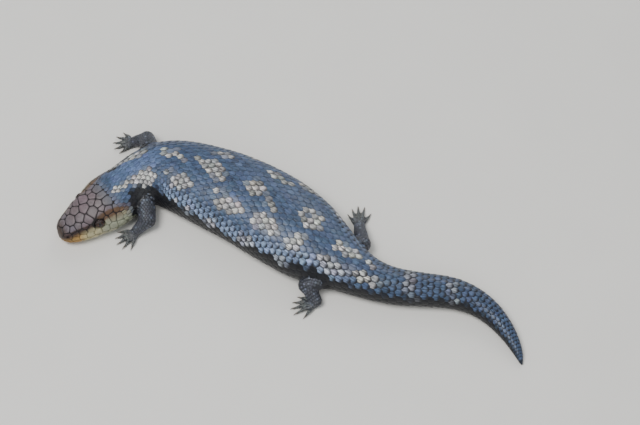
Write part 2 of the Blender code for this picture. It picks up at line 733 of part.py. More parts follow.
def main():
    clear_scene()
    parts = new_collection("blue_tongued_skink")
    cutters = new_collection("cutters")
    finishes = {name: finish_named(name) for name in COLOURS}
    trunk = Trunk()
    nodes = {"head": (build_head(trunk, parts, cutters), "head_shield")}
    for name in TRUNK_LENGTHS:
        if name != "head":
            nodes[name] = (trunk_length(trunk, name, parts), "slate_skin")
    for side in ("left", "right"):
        nodes["eye_" + side] = (build_eye(trunk, side, parts), "eye")
    grown = trunk_rings(trunk, 0.0, TOTAL_LENGTH, 4.5 * MM, 48, GAP)
    trunk_cutter = loft("grown_trunk", grown, cutters)
    for name, limb in LIMBS.items():
        nodes["leg_" + name] = (build_leg(name, limb, parts, cutters, trunk_cutter), "limb_skin")
        nodes["foot_" + name] = (build_foot(name, limb, parts, cutters, trunk_cutter), "limb_skin")
    for obj, finish in nodes.values():
        smooth_shaded(obj, finishes[finish])


if __name__ == "__main__":
    main()
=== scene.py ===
"""The looks of a blotched blue-tongued skink: skin, scales, head shields, lids, eyes, claws and stage.

Shapes are worked out in millimetres and put into meshes in metres. The trunk has a chart: s is the distance
back from the snout along the spine, and r the distance round from the middle of the back, positive on the
animal's left.
"""

import math

import bmesh
import bpy
import numpy as np
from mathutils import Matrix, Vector, noise
from mathutils.bvhtree import BVHTree
from mathutils.kdtree import KDTree


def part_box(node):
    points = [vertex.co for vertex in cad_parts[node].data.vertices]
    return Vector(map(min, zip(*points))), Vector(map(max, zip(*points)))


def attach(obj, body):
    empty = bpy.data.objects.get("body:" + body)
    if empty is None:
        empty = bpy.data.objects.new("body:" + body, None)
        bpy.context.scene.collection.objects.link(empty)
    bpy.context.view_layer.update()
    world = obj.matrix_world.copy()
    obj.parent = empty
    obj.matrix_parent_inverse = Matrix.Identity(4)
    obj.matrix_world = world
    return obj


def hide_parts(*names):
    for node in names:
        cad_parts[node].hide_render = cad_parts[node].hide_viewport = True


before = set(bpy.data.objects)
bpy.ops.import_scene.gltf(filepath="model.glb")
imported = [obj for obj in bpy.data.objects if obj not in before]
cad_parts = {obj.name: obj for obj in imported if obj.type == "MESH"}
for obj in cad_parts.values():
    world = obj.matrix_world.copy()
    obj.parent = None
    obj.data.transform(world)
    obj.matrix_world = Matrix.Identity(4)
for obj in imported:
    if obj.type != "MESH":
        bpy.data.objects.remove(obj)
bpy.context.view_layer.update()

bl_info = {
    "name": "Blotched blue-tongued skink",
    "version": (1, 0, 0),
    "blender": (4, 5, 0),
    "location": "View3D > Sidebar > Skink",
    "description": "Skin, scales, head shields, lids, eyes and claws of a skink at rest",
    "category": "Mesh",
}

MM = 0.001

# The trunk, as the solids have it
TOTAL_LENGTH = 411.0
SNOUT_PLACE = (-169.5, 3.2)
# Distance from the snout, and the spine's heading there in degrees from +X
HEADINGS = (
    (0, 33), (40, 39), (56, 43), (68, 39), (80, 21), (92, 1), (104, -14), (118, -22), (150, -27), (180, -34),
    (210, -39), (240, -36), (262, -30), (285, -17), (305, -6), (322, -5), (340, -18), (355, -33), (372, -50),
    (390, -62), (411, -78),
)
SQUARE_OVER = 44.0
# Distance from the snout, half width, height of the back, of the widest level and of the underside, and the
# squareness of the upper and lower halves
STATIONS = (
    (0, 0.6, 9.6, 7.6, 5.4, 2.2, 2.2),
    (1.5, 5.6, 12.6, 7.4, 3.4, 2.2, 2.2),
    (4.5, 8.8, 15.2, 7.4, 2.0, 2.3, 2.2),
    (10, 11.9, 18.6, 7.7, 0.8, 2.4, 2.2),
    (18, 14.6, 22.3, 8.2, 0.0, 2.5, 2.3),
    (27, 17.0, 25.4, 8.8, 0.0, 2.5, 2.3),
    (40, 20.4, 27.4, 9.4, 0.0, 2.4, 2.3),
    (51, 21.6, 27.8, 9.9, 0.0, 2.3, 2.4),
    (62, 21.0, 28.0, 10.2, 0.0, 2.2, 2.5),
    (74, 22.4, 29.2, 10.6, 0.0, 2.1, 2.5),
    (90, 27.0, 32.0, 11.5, 0.0, 2.1, 2.6),
    (115, 31.0, 35.2, 12.5, 0.0, 2.1, 2.6),
    (150, 34.5, 37.0, 13.0, 0.0, 2.1, 2.6),
    (185, 35.5, 37.0, 13.0, 0.0, 2.1, 2.6),
    (215, 33.0, 35.0, 12.5, 0.0, 2.1, 2.6),
    (240, 26.0, 31.2, 11.6, 0.0, 2.1, 2.5),
    (262, 18.5, 27.2, 10.5, 0.0, 2.1, 2.4),
    (282, 15.0, 24.5, 9.6, 0.0, 2.0, 2.3),
    (310, 13.2, 22.2, 9.0, 0.0, 2.0, 2.2),
    (335, 12.0, 20.0, 8.4, 0.0, 2.0, 2.2),
    (355, 10.2, 17.0, 7.4, 0.0, 2.0, 2.2),
    (375, 7.9, 13.4, 6.0, 0.0, 2.0, 2.2),
    (392, 5.4, 9.5, 4.4, 0.0, 2.0, 2.2),
    (404, 3.1, 6.0, 2.8, 0.0, 2.0, 2.2),
    (411, 0.8, 2.6, 1.2, 0.0, 2.0, 2.2),
)
PRESSED = 0.6

# The skin lies under the scales by this much along the trunk, and never closer to the floor than that
SKIN_DEPTH = ((0, 0.05), (40, 0.08), (62, 0.45), (370, 0.45), (411, 0.25))
FLOOR_DEPTH = 0.42

# Swellings and hollows of the head: distance from the snout, distance round, rise, and reach along and round
HEAD_RELIEF = (
    (26.5, 11.2, 0.9, 6.5, 2.8),
    (14.5, 13.0, -0.55, 5.0, 2.6),
    (36.0, 16.5, -0.35, 4.0, 3.0),
    (45.0, 25.0, 0.8, 9.0, 6.0),
    (6.0, 8.0, 0.3, 3.0, 2.5),
)

# The line of the mouth: above the widest level, and back to the jaw's corner
LIP_ABOVE_WIDEST = 0.4
MOUTH_CORNER = 41.0
MOUTH_DEPTH = 1.3

# Head shields: distance from the snout, distance round from the crown, and reach
CROWN_SHIELDS = (
    (0.9, 0.0, 4.0), (5.4, 3.4, 3.0), (11.4, 0.0, 4.2), (17.4, 3.6, 3.6), (24.0, 0.0, 3.8),
    (21.8, 8.8, 3.0), (27.2, 6.6, 4.0), (31.0, 12.0, 2.6), (30.6, 0.0, 2.6), (34.0, 4.4, 3.0),
    (34.2, 9.2, 2.6), (39.2, 0.0, 3.2), (39.8, 6.4, 3.6), (37.0, 12.6, 3.4), (9.2, 7.4, 2.4),
    (13.6, 8.2, 2.6), (17.4, 11.4, 2.4), (9.6, 12.2, 2.6), (14.6, 14.4, 2.6), (20.4, 16.8, 2.6),
    (32.8, 18.6, 2.6), (37.2, 18.6, 2.8), (42.8, 15.4, 2.6), (42.4, 21.4, 3.0),
)
NOSTRIL = (4.4, 8.6, 3.2)
NOSTRIL_RADIUS = 0.8
# Shields under the chin: distance from the snout, distance round from the middle of the throat, and reach
CHIN_SHIELDS = ((2.0, 0.0, 3.2), (7.2, 0.0, 3.4), (12.6, 3.4, 3.2), (18.8, 5.2, 3.0))
UPPER_LABIALS = (3.4, 8.4, 13.6, 19.0, 24.4, 30.0, 35.8, 41.4)
LOWER_LABIALS = (3.6, 9.4, 15.4, 21.6, 28.0, 34.6)
UPPER_LABIAL_RISE = 2.4
LOWER_LABIAL_DROP = 2.8
LABIAL_REACH = 3.0
SUTURE = 0.32
LIP_SUTURE = 0.14
LIP_GAP = 0.3
# Guards are places that no shield reaches past. At an eye: ahead of its middle; round the jaw's corner:
# distance from the snout, and height above the mouth's line; each with its reach
EYE_GUARDS = (-1.9, 0.0, 1.9)
EYE_GUARD_OUT = 2.4
EYE_GUARD_REACH = 2.9
JAW_GUARDS = ((42.0, -3.2), (47.0, -3.4), (48.5, 1.6), (48.0, 6.0))
JAW_GUARD_REACH = 2.4
THROAT_GUARD_RISE = -8.2
THROAT_GUARDS_BEHIND = (41.0, 48.0)
NAPE_GUARDS_AT = 47.5
SOFT_GUARD_REACH = 2.6

# Eyes, ears
EYE_AT = 27.4
EYE_HEIGHT = 18.4
EYE_RADIUS = 3.1
EYE_OPENING = (2.8, 1.3)
# The socket in the skin: half sizes and depth; and how far off the trunk's scales stay
EYE_SOCKET = (4.6, 3.7)
EYE_SOCKET_DEPTH = 3.2
EYE_CLEAR = 7.0
EAR_AT = 52.5
EAR_HEIGHT = 13.5
EAR_HALF_SIZES = (1.9, 3.1)
EAR_DEPTH = 2.6
# How far past the ear's edge the scales stay, along and up
EAR_CLEAR = (1.0, 0.6)

# Rings of scales along the trunk: distance from the snout, spacing of the rings, width of a scale
SCALE_PLAN = np.array((
    (4, 2.2, 2.6), (30, 2.5, 2.9), (52, 3.0, 3.4), (64, 3.5, 4.0), (90, 3.9, 4.7), (120, 4.2, 5.1),
    (150, 4.3, 5.2), (215, 4.4, 5.2), (240, 4.4, 5.2), (264, 4.4, 5.3), (310, 4.5, 5.6), (345, 4.2, 5.0),
    (375, 3.4, 3.6), (395, 2.5, 2.4), (411, 1.8, 1.4),
))
FIRST_RING = 8.0
LAST_RING = 408.5
# Beyond this share of the way round to the belly's middle, the rows close up to meet there
REGULAR_SHARE = 0.6
# How far a scale's root lies ahead of its own ring, and how long a scale is, in spacings of the rings
SCALE_ROOT = 1.3
SCALE_REACH = 2.3
# The lengths that the coat of the trunk is divided into
COAT_LENGTHS = {
    "scales_neck": (0, 80),
    "scales_torso_front": (80, 170),
    "scales_torso_rear": (170, 264),
    "scales_tail": (264, 411),
}

# Pale blotches on the chart: distance from the snout, distance round, half sizes along and round, and turn
# in degrees
BLOTCHES = (
    (62, -21, 5, 4, 30), (68.5, -16.5, 6, 3.6, 20), (75.5, -15, 7.5, 4.4, 10),
    (50, 4, 5, 3, 10), (58.5, 3.5, 6, 3.4, 0), (66, 6, 5, 4, 0), (76, 8.5, 8, 7, 0), (84, 12, 3.5, 3, 0),
    (96.5, -8.5, 6, 4.8, 0), (105, -3.5, 5, 2.2, 40), (110, 15, 11, 6.4, 0), (100, 10, 4, 2.6, 0),
    (129.5, -5, 12, 4.8, 12), (139, 2.5, 5.5, 2.8, 0), (132, -20, 8.5, 3, 0), (144, 12, 3.6, 3.4, 0),
    (156, 18.5, 12.5, 5.8, -6), (168.5, -2.5, 8.5, 7.4, 20), (184.5, 3, 6.5, 3.2, 20),
    (176, -22.5, 10, 3.4, 0),
    (190.5, 17.8, 13, 6.4, -8), (214.5, -6.5, 11, 8.6, 0), (217, 14.5, 5.5, 8, 25),
    (113, 30, 4, 4, 0), (124.5, 36, 5, 4, 0), (148, 39, 6, 5, 0), (182, 37, 8, 5, 0), (214, 34, 6, 4, 0),
    (246, 13.5, 10.5, 6, 0), (251, -4, 11, 5, 0), (270, 9, 13, 3.8, 0), (272, -5, 5, 2.4, 0),
    (302, -2, 4.4, 13, 0), (333, 2, 3.4, 9, 0), (306, 14, 4, 3, 0), (338, 12, 4, 3, 0),
    (102, -34, 6, 5, 0), (126, -41, 5, 6, 0), (152, -38, 6, 5, 0), (196, -33, 8, 5, 0), (226, -32, 6, 5, 0),
)
# Where the flank turns dark, partly its own dark colour and partly painted shade of the lower flank and the
# armpits: distance from the snout, distance round on the left
DARK_AND_SHADE_LINE = (
    (48, 44), (52, 19), (56, 11.5), (61, 10), (67, 12.5), (73, 16), (84, 20), (92, 26), (104, 31),
    (116, 33), (141, 38), (160, 41.6), (178, 42), (197, 37), (216, 31.6), (229, 25.5), (244, 21.8),
    (258, 19.7), (272, 17.5), (285, 15.6), (298, 14), (311, 13), (326, 12), (342, 11), (360, 8.6),
    (381, 6.4), (397, 4.4), (411, 2),
)
# On the head, where the crown's plates end and the band of dark brown and painted shade begins, and where the
# pale lips begin
CROWN_LINE = (
    (0, 3.5), (3.3, 6), (9.8, 8.6), (16.8, 11.4), (22.3, 13), (27, 11.8), (33, 12), (40, 13.5), (50, 16),
)
LIP_LINE = (
    (0, 5.5), (3.3, 8.8), (9.8, 11.6), (17.8, 14.6), (24, 17), (30, 17.6), (38, 18.4), (44, 19.5), (55, 22),
)

# Limbs: joints in the animal's own place, radii between them, and the foot
LIMB_SHIFT = np.array((25.5, 27.2, 0.0))
LIMBS = {
    "front_left": {
        "root": (-133.0, 14.0, 16.0),
        "knee": (-129.6, -12.0, 9.6),
        "ankle": (-138.0, -18.6, 4.6),
        "radii": (7.4, 7.2, 5.6, 4.2),
        "heading": 214,
        "spread": (-34, -17, 0, 19, 41),
        "toes": (6.0, 8.0, 8.8, 8.2, 6.2),
    },
    "front_right": {
        "root": (-128.5, 41.0, 16.0),
        "knee": (-134.0, 60.6, 9.4),
        "ankle": (-144.0, 61.4, 4.6),
        "radii": (7.4, 6.8, 5.4, 4.2),
        "heading": 178,
        "spread": (-42, -20, 0, 18, 36),
        "toes": (6.0, 8.0, 8.8, 8.2, 6.2),
    },
    "hind_left": {
        "root": (17.0, -56.0, 13.0),
        "knee": (-9.6, -67.0, 10.0),
        "ankle": (-2.6, -77.6, 4.8),
        "radii": (8.4, 7.4, 5.8, 4.4),
        "heading": 194,
        "spread": (-30, -14, 0, 14, 36),
        "toes": (6.4, 9.2, 10.8, 10.4, 7.0),
    },
    "hind_right": {
        "root": (19.0, -46.0, 13.0),
        "knee": (31.6, -33.0, 10.0),
        "ankle": (29.6, -14.4, 4.8),
        "radii": (8.4, 7.2, 5.8, 4.4),
        "heading": 92,
        "spread": (-36, -14, 0, 14, 30),
        "toes": (7.0, 10.4, 10.8, 9.2, 6.4),
    },
}
LIMB_DEPTH = 0.25
PALM_HALF_SIZES = (5.2, 4.6, 3.0)
PALM_HEIGHT = 2.5
PALM_AHEAD = 2.6
TOE_RADII = (1.6, 1.6, 1.45, 1.15, 0.86)
TOE_LIFT = 0.9
CLAW_LENGTH = 2.8
# Scales of a limb: width at the shoulder or hip, at the ankle, on the palm and on a toe
LIMB_SCALES = (2.7, 1.9, 1.6, 1.7)
# The least distance between a limb's scales, in widths
LIMB_SCALE_APART = 0.42
FILLET = 5.0

FLESH = [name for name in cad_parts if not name.startswith("eye")]


def tone(red, green, blue):
    """A colour as seen, of 0 to 255, as the linear one that a shader takes."""
    seen = (c / 255 for c in (red, green, blue))
    return tuple(c / 12.92 if c <= 0.04045 else ((c + 0.055) / 1.055) ** 2.4 for c in seen)


def colour_property(name, description, seen):
    return bpy.props.FloatVectorProperty(
        name=name, description=description, default=tone(*seen), subtype="COLOR", size=3, min=0, max=1
    )


def length_property(name, description, default):
    return bpy.props.FloatProperty(
        name=name, description=description, default=default, unit="LENGTH", precision=5, min=0
    )


class SkinkSizes(bpy.types.PropertyGroup):
    """Sizes of the skin, scales and shields."""

    scale_rise: length_property("Scale rise", "How far a trunk scale's hind edge is over the skin", 0.0004)
    limb_scale_rise: length_property("Limb scale rise", "The same for the scales of legs and toes", 0.00026)
    shield_rise: length_property("Shield rise", "How far a head shield stands over the skin", 0.00055)
    skin_grain: length_property("Skin voxel", "Finest mesh size of the limbs' skin", 0.00055)
    patch: bpy.props.FloatProperty(
        name="Scale patch", description="Width of one scale's patch on the unwrapped coat",
        default=0.005, min=0.001,
    )


class SkinkColours(bpy.types.PropertyGroup):
    """Colours of the animal; the flank colours are painted sheen, the dark and cheek colours partly painted
    shade.
    """

    slate: colour_property("Slate", "Scales of the back", (66, 82, 108))
    # Flank: a paler blue that stands for painted sheen of sky light on the flank
    flank: colour_property("Flank", "Scales of the flank", (124, 142, 172))
    stripe: colour_property("Stripe", "Stripe along the nape", (84, 102, 136))
    # Dark: partly the animal's own dark, as in the belly's mottles, partly painted shade on the lower flank
    # and in the armpits
    dark: colour_property("Dark", "Lower flank and armpits", (20, 21, 25))
    blotch: colour_property("Blotch", "Pale blotches of the back", (174, 172, 168))
    # Flank blotch: a bluer pale that stands for painted sheen on the flank's blotches
    flank_blotch_sheen: colour_property("Flank blotch", "Pale blotches of the flank", (174, 176, 186))
    belly: colour_property("Belly", "Scales of the underside", (150, 146, 134))
    skin: colour_property("Skin", "Skin between the scales", (20, 23, 30))
    crown: colour_property("Crown", "Shields of the crown", (104, 92, 94))
    nape: colour_property("Nape", "Shields at the back of the crown", (92, 96, 108))
    crown_skin: colour_property("Sutures", "Skin between the head shields", (22, 16, 16))
    snout: colour_property("Snout", "Shields at the tip of the snout", (66, 52, 44))
    lip_front: colour_property("Front lip", "Lip shields near the snout", (156, 120, 64))
    lip_middle: colour_property("Middle lip", "Lip shields below the eye", (176, 166, 126))
    lip_back: colour_property("Back lip", "Lip shields near the jaw's corner", (146, 148, 126))
    # Cheek: partly the shields' own dark brown, partly painted shade under the crown's edge
    cheek_and_shade: colour_property("Cheek", "Shields between lip and crown in front of the eye", (52, 36, 30))
    temple: colour_property("Temple", "Shields below and behind the eye", (98, 72, 48))
    limb: colour_property("Limb", "Scales of the legs", (68, 70, 78))
    speckle: colour_property("Speckle", "Pale scales of the legs", (100, 106, 120))
    toe: colour_property("Toe", "Scales of the toes", (98, 100, 96))
    iris: colour_property("Iris", "Ring of the eye", (66, 36, 22))
    claw: colour_property("Claw", "Horn of the claws", (92, 84, 76))
    floor: colour_property("Floor", "Floor of the stage", (232, 229, 222))


def smooth_through(knots, values, at):
    """A curve through the values that never overshoots them, read at each place of at."""
    knots, values, at = (np.asarray(x, float) for x in (knots, values, at))
    step = np.diff(knots)
    rise = np.diff(values) / step
    slope = np.zeros(len(knots))
    slope[0], slope[-1] = rise[0], rise[-1]
    for i in range(1, len(knots) - 1):
        if rise[i - 1] * rise[i] > 0:
            before, after = 2 * step[i] + step[i - 1], step[i] + 2 * step[i - 1]
            slope[i] = (before + after) / (before / rise[i - 1] + after / rise[i])
    i = np.clip(np.searchsorted(knots, at) - 1, 0, len(knots) - 2)
    t = (at - knots[i]) / step[i]
    start = (1 + 2 * t) * (1 - t) ** 2 * values[i] + t * (1 - t) ** 2 * step[i] * slope[i]
    end = t * t * (3 - 2 * t) * values[i + 1] + t * t * (t - 1) * step[i] * slope[i + 1]
    return start + end


def step_between(low, high, value):
    """0 below low, 1 above high and smooth between."""
    t = np.clip((np.asarray(value, float) - low) / (high - low), 0, 1)
    return t * t * (3 - 2 * t)


def along_trunk(table, s):
    """The value at each place, from pairs of distance from the snout and value."""
    return np.interp(s, *np.array(table).T)


def unit(vectors):
    vectors = np.asarray(vectors, float)
    return vectors / np.maximum(np.linalg.norm(vectors, axis=-1, keepdims=True), 1e-9)


def table_lookup(table, row, column):
    """The table read between its cells."""
    row = np.clip(row, 0, table.shape[0] - 1.001)
    column = np.clip(column, 0, table.shape[1] - 1.001)
    i, j = row.astype(int), column.astype(int)
    f, g = row - i, column - j
    near = table[i, j] * (1 - g) + table[i, j + 1] * g
    return near * (1 - f) + (table[i + 1, j] * (1 - g) + table[i + 1, j + 1] * g) * f


class Trunk:
    """The body without its limbs. A turn is the angle round from the crown, positive on the animal's left."""

    CELLS = 360

    def __init__(self):
        self.at = np.linspace(0, TOTAL_LENGTH, 823)
        knots, headings = np.array(HEADINGS, float).T
        heading = np.radians(smooth_through(knots, headings, self.at))
        step = np.diff(self.at)
        rows = []
        for start, slope in zip(SNOUT_PLACE, (np.cos(heading), np.sin(heading))):
            rows.append(start + np.concatenate([[0], np.cumsum((slope[1:] + slope[:-1]) / 2 * step)]))
        half = int(SQUARE_OVER / 2 / step[0])
        padded = np.pad(heading, half, mode="reflect", reflect_type="odd")
        window = np.hanning(2 * half + 3)[1:-1]
        square = np.convolve(padded, window / window.sum(), mode="valid")
        rows += [np.sin(square), -np.cos(square)]
        stations = np.array(STATIONS, float)
        rows += [smooth_through(stations[:, 0], stations[:, k], self.at) for k in range(1, 7)]
        self.rows = np.array(rows)
        self.measure()

    def measure(self):
        """Tables between the turn and the distance round, one row a millimetre."""
        turns = np.linspace(-math.pi, math.pi, 2 * self.CELLS + 1)
        stations = np.arange(0, TOTAL_LENGTH + 1)
        points = self.point(stations[:, None], turns[None, :])
        steps = np.linalg.norm(np.diff(points, axis=1), axis=2)
        arc = np.concatenate([np.zeros((len(stations), 1)), np.cumsum(steps, axis=1)], axis=1)
        arc -= arc[:, self.CELLS : self.CELLS + 1]
        self.arc = arc
        self.halves = arc[:, -1]
        share = np.linspace(-1, 1, 2 * self.CELLS + 1)
        self.turns = np.array([np.interp(share * h, a, turns) for h, a in zip(self.halves, arc)])

    def read(self, s):
        place = np.clip(np.asarray(s, float) / TOTAL_LENGTH * (len(self.at) - 1), 0, len(self.at) - 1.001)
        i = place.astype(int)
        f = place - i
        return self.rows[:, i] * (1 - f) + self.rows[:, i + 1] * f

    def point(self, s, turn, swell=0.0):
        s, turn, swell = np.broadcast_arrays(np.asarray(s, float), turn, swell)
        x, y, left_x, left_y, half, back, widest, underside, upper, lower = self.read(s)
        across, up = np.sin(turn), np.cos(turn)
        power = 2 / np.where(up >= 0, upper, lower)
        rise = np.where(up >= 0, back - widest, widest - underside + PRESSED)
        out = np.sign(across) * np.abs(across) ** power * (half + swell)
        height = widest + np.sign(up) * np.abs(up) ** power * (rise + swell)
        return np.stack([x + left_x * out, y + left_y * out, np.maximum(height, -swell)], axis=-1)

    def normal(self, s, turn):
        near, far = np.maximum(s - 0.2, 0), np.minimum(s + 0.2, TOTAL_LENGTH)
        along = self.point(far, turn) - self.point(near, turn)
        around = self.point(s, turn + 0.02) - self.point(s, turn - 0.02)
        return unit(np.cross(around, along))

    def half_round(self, s):
        """Distance round from the crown to the middle of the belly."""
        return np.interp(s, np.arange(len(self.halves)), self.halves)

    def turn_at(self, s, r):
        share = np.asarray(r, float) / self.half_round(s)
        return table_lookup(self.turns, np.asarray(s, float), (share + 1) * self.CELLS)

    def round_at(self, s, turn):
        return table_lookup(self.arc, np.asarray(s, float), (np.asarray(turn) / math.pi + 1) * self.CELLS)

    def turn_of_height(self, s, above_widest):
        """The turn on the left at that height above the widest level."""
        _, _, _, _, _, back, widest, underside, upper, lower = self.read(s)
        above = np.asarray(above_widest, float)
        rise = np.where(above >= 0, back - widest, widest - underside + PRESSED)
        power = np.where(above >= 0, upper, lower) / 2
        return np.arccos(np.sign(above) * np.clip(np.abs(above) / rise, 0, 1) ** power)

    def turn_of_level(self, s, level):
        """The turn on the left at that height above the floor."""
        return self.turn_of_height(s, level - self.read(s)[6])

    def skin_place(self, s, r, lift=0.0):
        """The skin's point on the chart with its normal, the head's swellings included."""
        turn = self.turn_at(s, r)
        depth = along_trunk(SKIN_DEPTH, s)
        normal = self.normal(s, turn)
        place = self.point(s, turn, -depth) + normal * (head_relief(s, r) + lift)[..., None]
        place[..., 2] = np.maximum(place[..., 2], FLOOR_DEPTH)
        return place, normal


def head_relief(s, r):
    total = np.zeros(np.broadcast(s, r).shape)
    for at, beside, rise, along, around in HEAD_RELIEF:
        total += rise * np.exp(-(((s - at) / along) ** 2) - ((np.abs(r) - beside) / around) ** 2)
    return total


TRUNK = Trunk()


def side_frame(s, turn):
    """The trunk's point there, with the directions forward, up and out."""
    s, turn = np.float64(s), np.float64(turn)
    out = TRUNK.normal(s, turn)
    forward = unit(TRUNK.point(s - 1, turn) - TRUNK.point(s + 1, turn))
    up = unit(np.cross(out, forward))
    if up[2] < 0:
        up = -up
    return TRUNK.point(s, turn), forward, up, out


def eye_frame(sign):
    """The middle of the eyeball, from the solid that it replaces, and the directions forward, up and out."""
    low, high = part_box("eye_left" if sign > 0 else "eye_right")
    turn = sign * TRUNK.turn_of_level(EYE_AT, EYE_HEIGHT)
    _, forward, up, out = side_frame(EYE_AT, turn)
    return (np.array(low) + np.array(high)) / 2 / MM, forward, up, out


def ear_frame(sign):
    return side_frame(EAR_AT, sign * TRUNK.turn_of_level(EAR_AT, EAR_HEIGHT))


def nostril_frame(sign):
    s, r, _ = NOSTRIL
    return side_frame(s, TRUNK.turn_at(s, sign * r))


def new_mesh(name, points, faces):
    """A mesh from points in millimetres."""
    mesh = bpy.data.meshes.new(name)
    mesh.from_pydata((np.asarray(points) * MM).tolist(), [], [list(map(int, f)) for f in faces])
    mesh.update()
    return mesh


def new_object(name, mesh):
    made = bpy.data.objects.new(name, mesh)
    bpy.context.scene.collection.objects.link(made)
    return made


def write_attribute(mesh, name, kind, values):
    field = {"FLOAT": "value", "FLOAT_VECTOR": "vector", "FLOAT_COLOR": "color"}[kind]
    values = np.asarray(values, np.float32)
    if kind == "FLOAT_COLOR" and values.shape[-1] == 3:
        values = np.concatenate([values, np.ones((*values.shape[:-1], 1), np.float32)], axis=-1)
    made = mesh.attributes.new(name, kind, "POINT")
    made.data.foreach_set(field, values.ravel())


def read_points(mesh):
    points = np.empty(len(mesh.vertices) * 3)
    mesh.vertices.foreach_get("co", points)
    return points.reshape(-1, 3) / MM


def bake_modifiers(obj):
    """Makes the object's evaluated mesh its own."""
    graph = bpy.context.evaluated_depsgraph_get()
    shown = obj.evaluated_get(graph)
    mesh = bpy.data.meshes.new_from_object(shown, preserve_all_data_layers=True, depsgraph=graph)
    obj.modifiers.clear()
    obj.data = mesh


def grid_faces(rings, sides, looped=False):
    """Faces between rings of points, closed round each ring, and from last ring to first if looped."""
    faces = []
    for i in range(rings if looped else rings - 1):
        here, after = i * sides, (i + 1) % rings * sides
        for j in range(sides):
            k = (j + 1) % sides
            faces.append((here + j, here + k, after + k, after + j))
    return faces


def capped_faces(rings, sides):
    """Faces of a closed body: rings of points, then a middle point for each end."""
    first, last = rings * sides, rings * sides + 1
    start = (rings - 1) * sides
    faces = grid_faces(rings, sides)
    faces += [(first, (j + 1) % sides, j) for j in range(sides)]
    faces += [(last, start + j, start + (j + 1) % sides) for j in range(sides)]
    return faces


def closed_tube(rings):
    """Points and faces of a closed body through rings of points, with a middle point in each end."""
    rings = np.asarray(rings, float)
    points = np.concatenate([rings.reshape(-1, 3), rings[:1].mean(axis=1), rings[-1:].mean(axis=1)])
    return points, capped_faces(*rings.shape[:2])


def join_parts(parts):
    """Several pairs of points and faces as one."""
    points, faces, offset = [], [], 0
    for its_points, its_faces in parts:
        points.append(its_points)
        faces += [tuple(i + offset for i in face) for face in its_faces]
        offset += len(its_points)
    return np.concatenate(points), faces


def faces_out(mesh):
    bm = bmesh.new()
    bm.from_mesh(mesh)
    bm.normal_update()
    bmesh.ops.recalc_face_normals(bm, faces=bm.faces)
    bm.to_mesh(mesh)
    bm.free()


def tree_of(obj):
    mesh = obj.data
    points = read_points(mesh)
    return BVHTree.FromPolygons([Vector(p) for p in points], [p.vertices[:] for p in mesh.polygons])


def nearest_on(tree, points):
    """For each point, the nearest on the tree, its normal there, and the distance."""
    found = [tree.find_nearest(Vector(p)) for p in points]
    return (
        np.array([f[0] for f in found]),
        np.array([f[1] for f in found]),
        np.array([f[3] for f in found]),
    )


def rough(points, size, seed=0.0):
    """Smooth noise from -1 to 1 over places, with lumps about that many millimetres across."""
    shift = Vector((seed, seed * 1.7, seed * 0.3))
    return np.array([noise.noise(Vector(p) / size + shift) for p in np.asarray(points, float)])


# Markings, read by skin and coat alike


def past_dark_and_shade_line(s, r):
    """How far a place is below the line where dark colour and painted shade begin; the line is lower on the
    right, which has less painted shade.
    """
    return np.abs(r) - along_trunk(DARK_AND_SHADE_LINE, s) * np.where(r > 0, 1.0, 1.25)


def blotch_share(s, r, places, patchy=0.5):
    """0 on slate and 1 in a pale blotch, ragged at the edge, with less on some scales if they are patchy."""
    s, r = np.asarray(s, float), np.asarray(r, float)
    deep = np.full(s.shape, -9.0)
    for at, beside, half_s, half_r, turn in BLOTCHES:
        angle = math.radians(turn)
        along, around = s - at, r - beside
        u = along * math.cos(angle) + around * math.sin(angle)
        v = around * math.cos(angle) - along * math.sin(angle)
        distance = (1 - np.hypot(u / half_s, v / half_r)) * min(half_s, half_r)
        deep = np.maximum(deep, distance)
    ragged = rough(places, 3.2, 5.0) * 1.5 + rough(places, 9.0, 2.0) * 0.8
    held = np.where(np.asarray(patchy) > 0.06, 0.8 + 0.5 * np.asarray(patchy), 0.15)
    return np.clip(step_between(-0.7, 1.1, deep + ragged) * held, 0, 1)


def plain(colour, like):
    """The same colour at every place of that array."""
    return np.tile(np.array(colour), (*np.shape(like), 1))


def blend(base, other, share):
    share = np.asarray(share, float)[..., None]
    return base * (1 - share) + np.asarray(other) * share


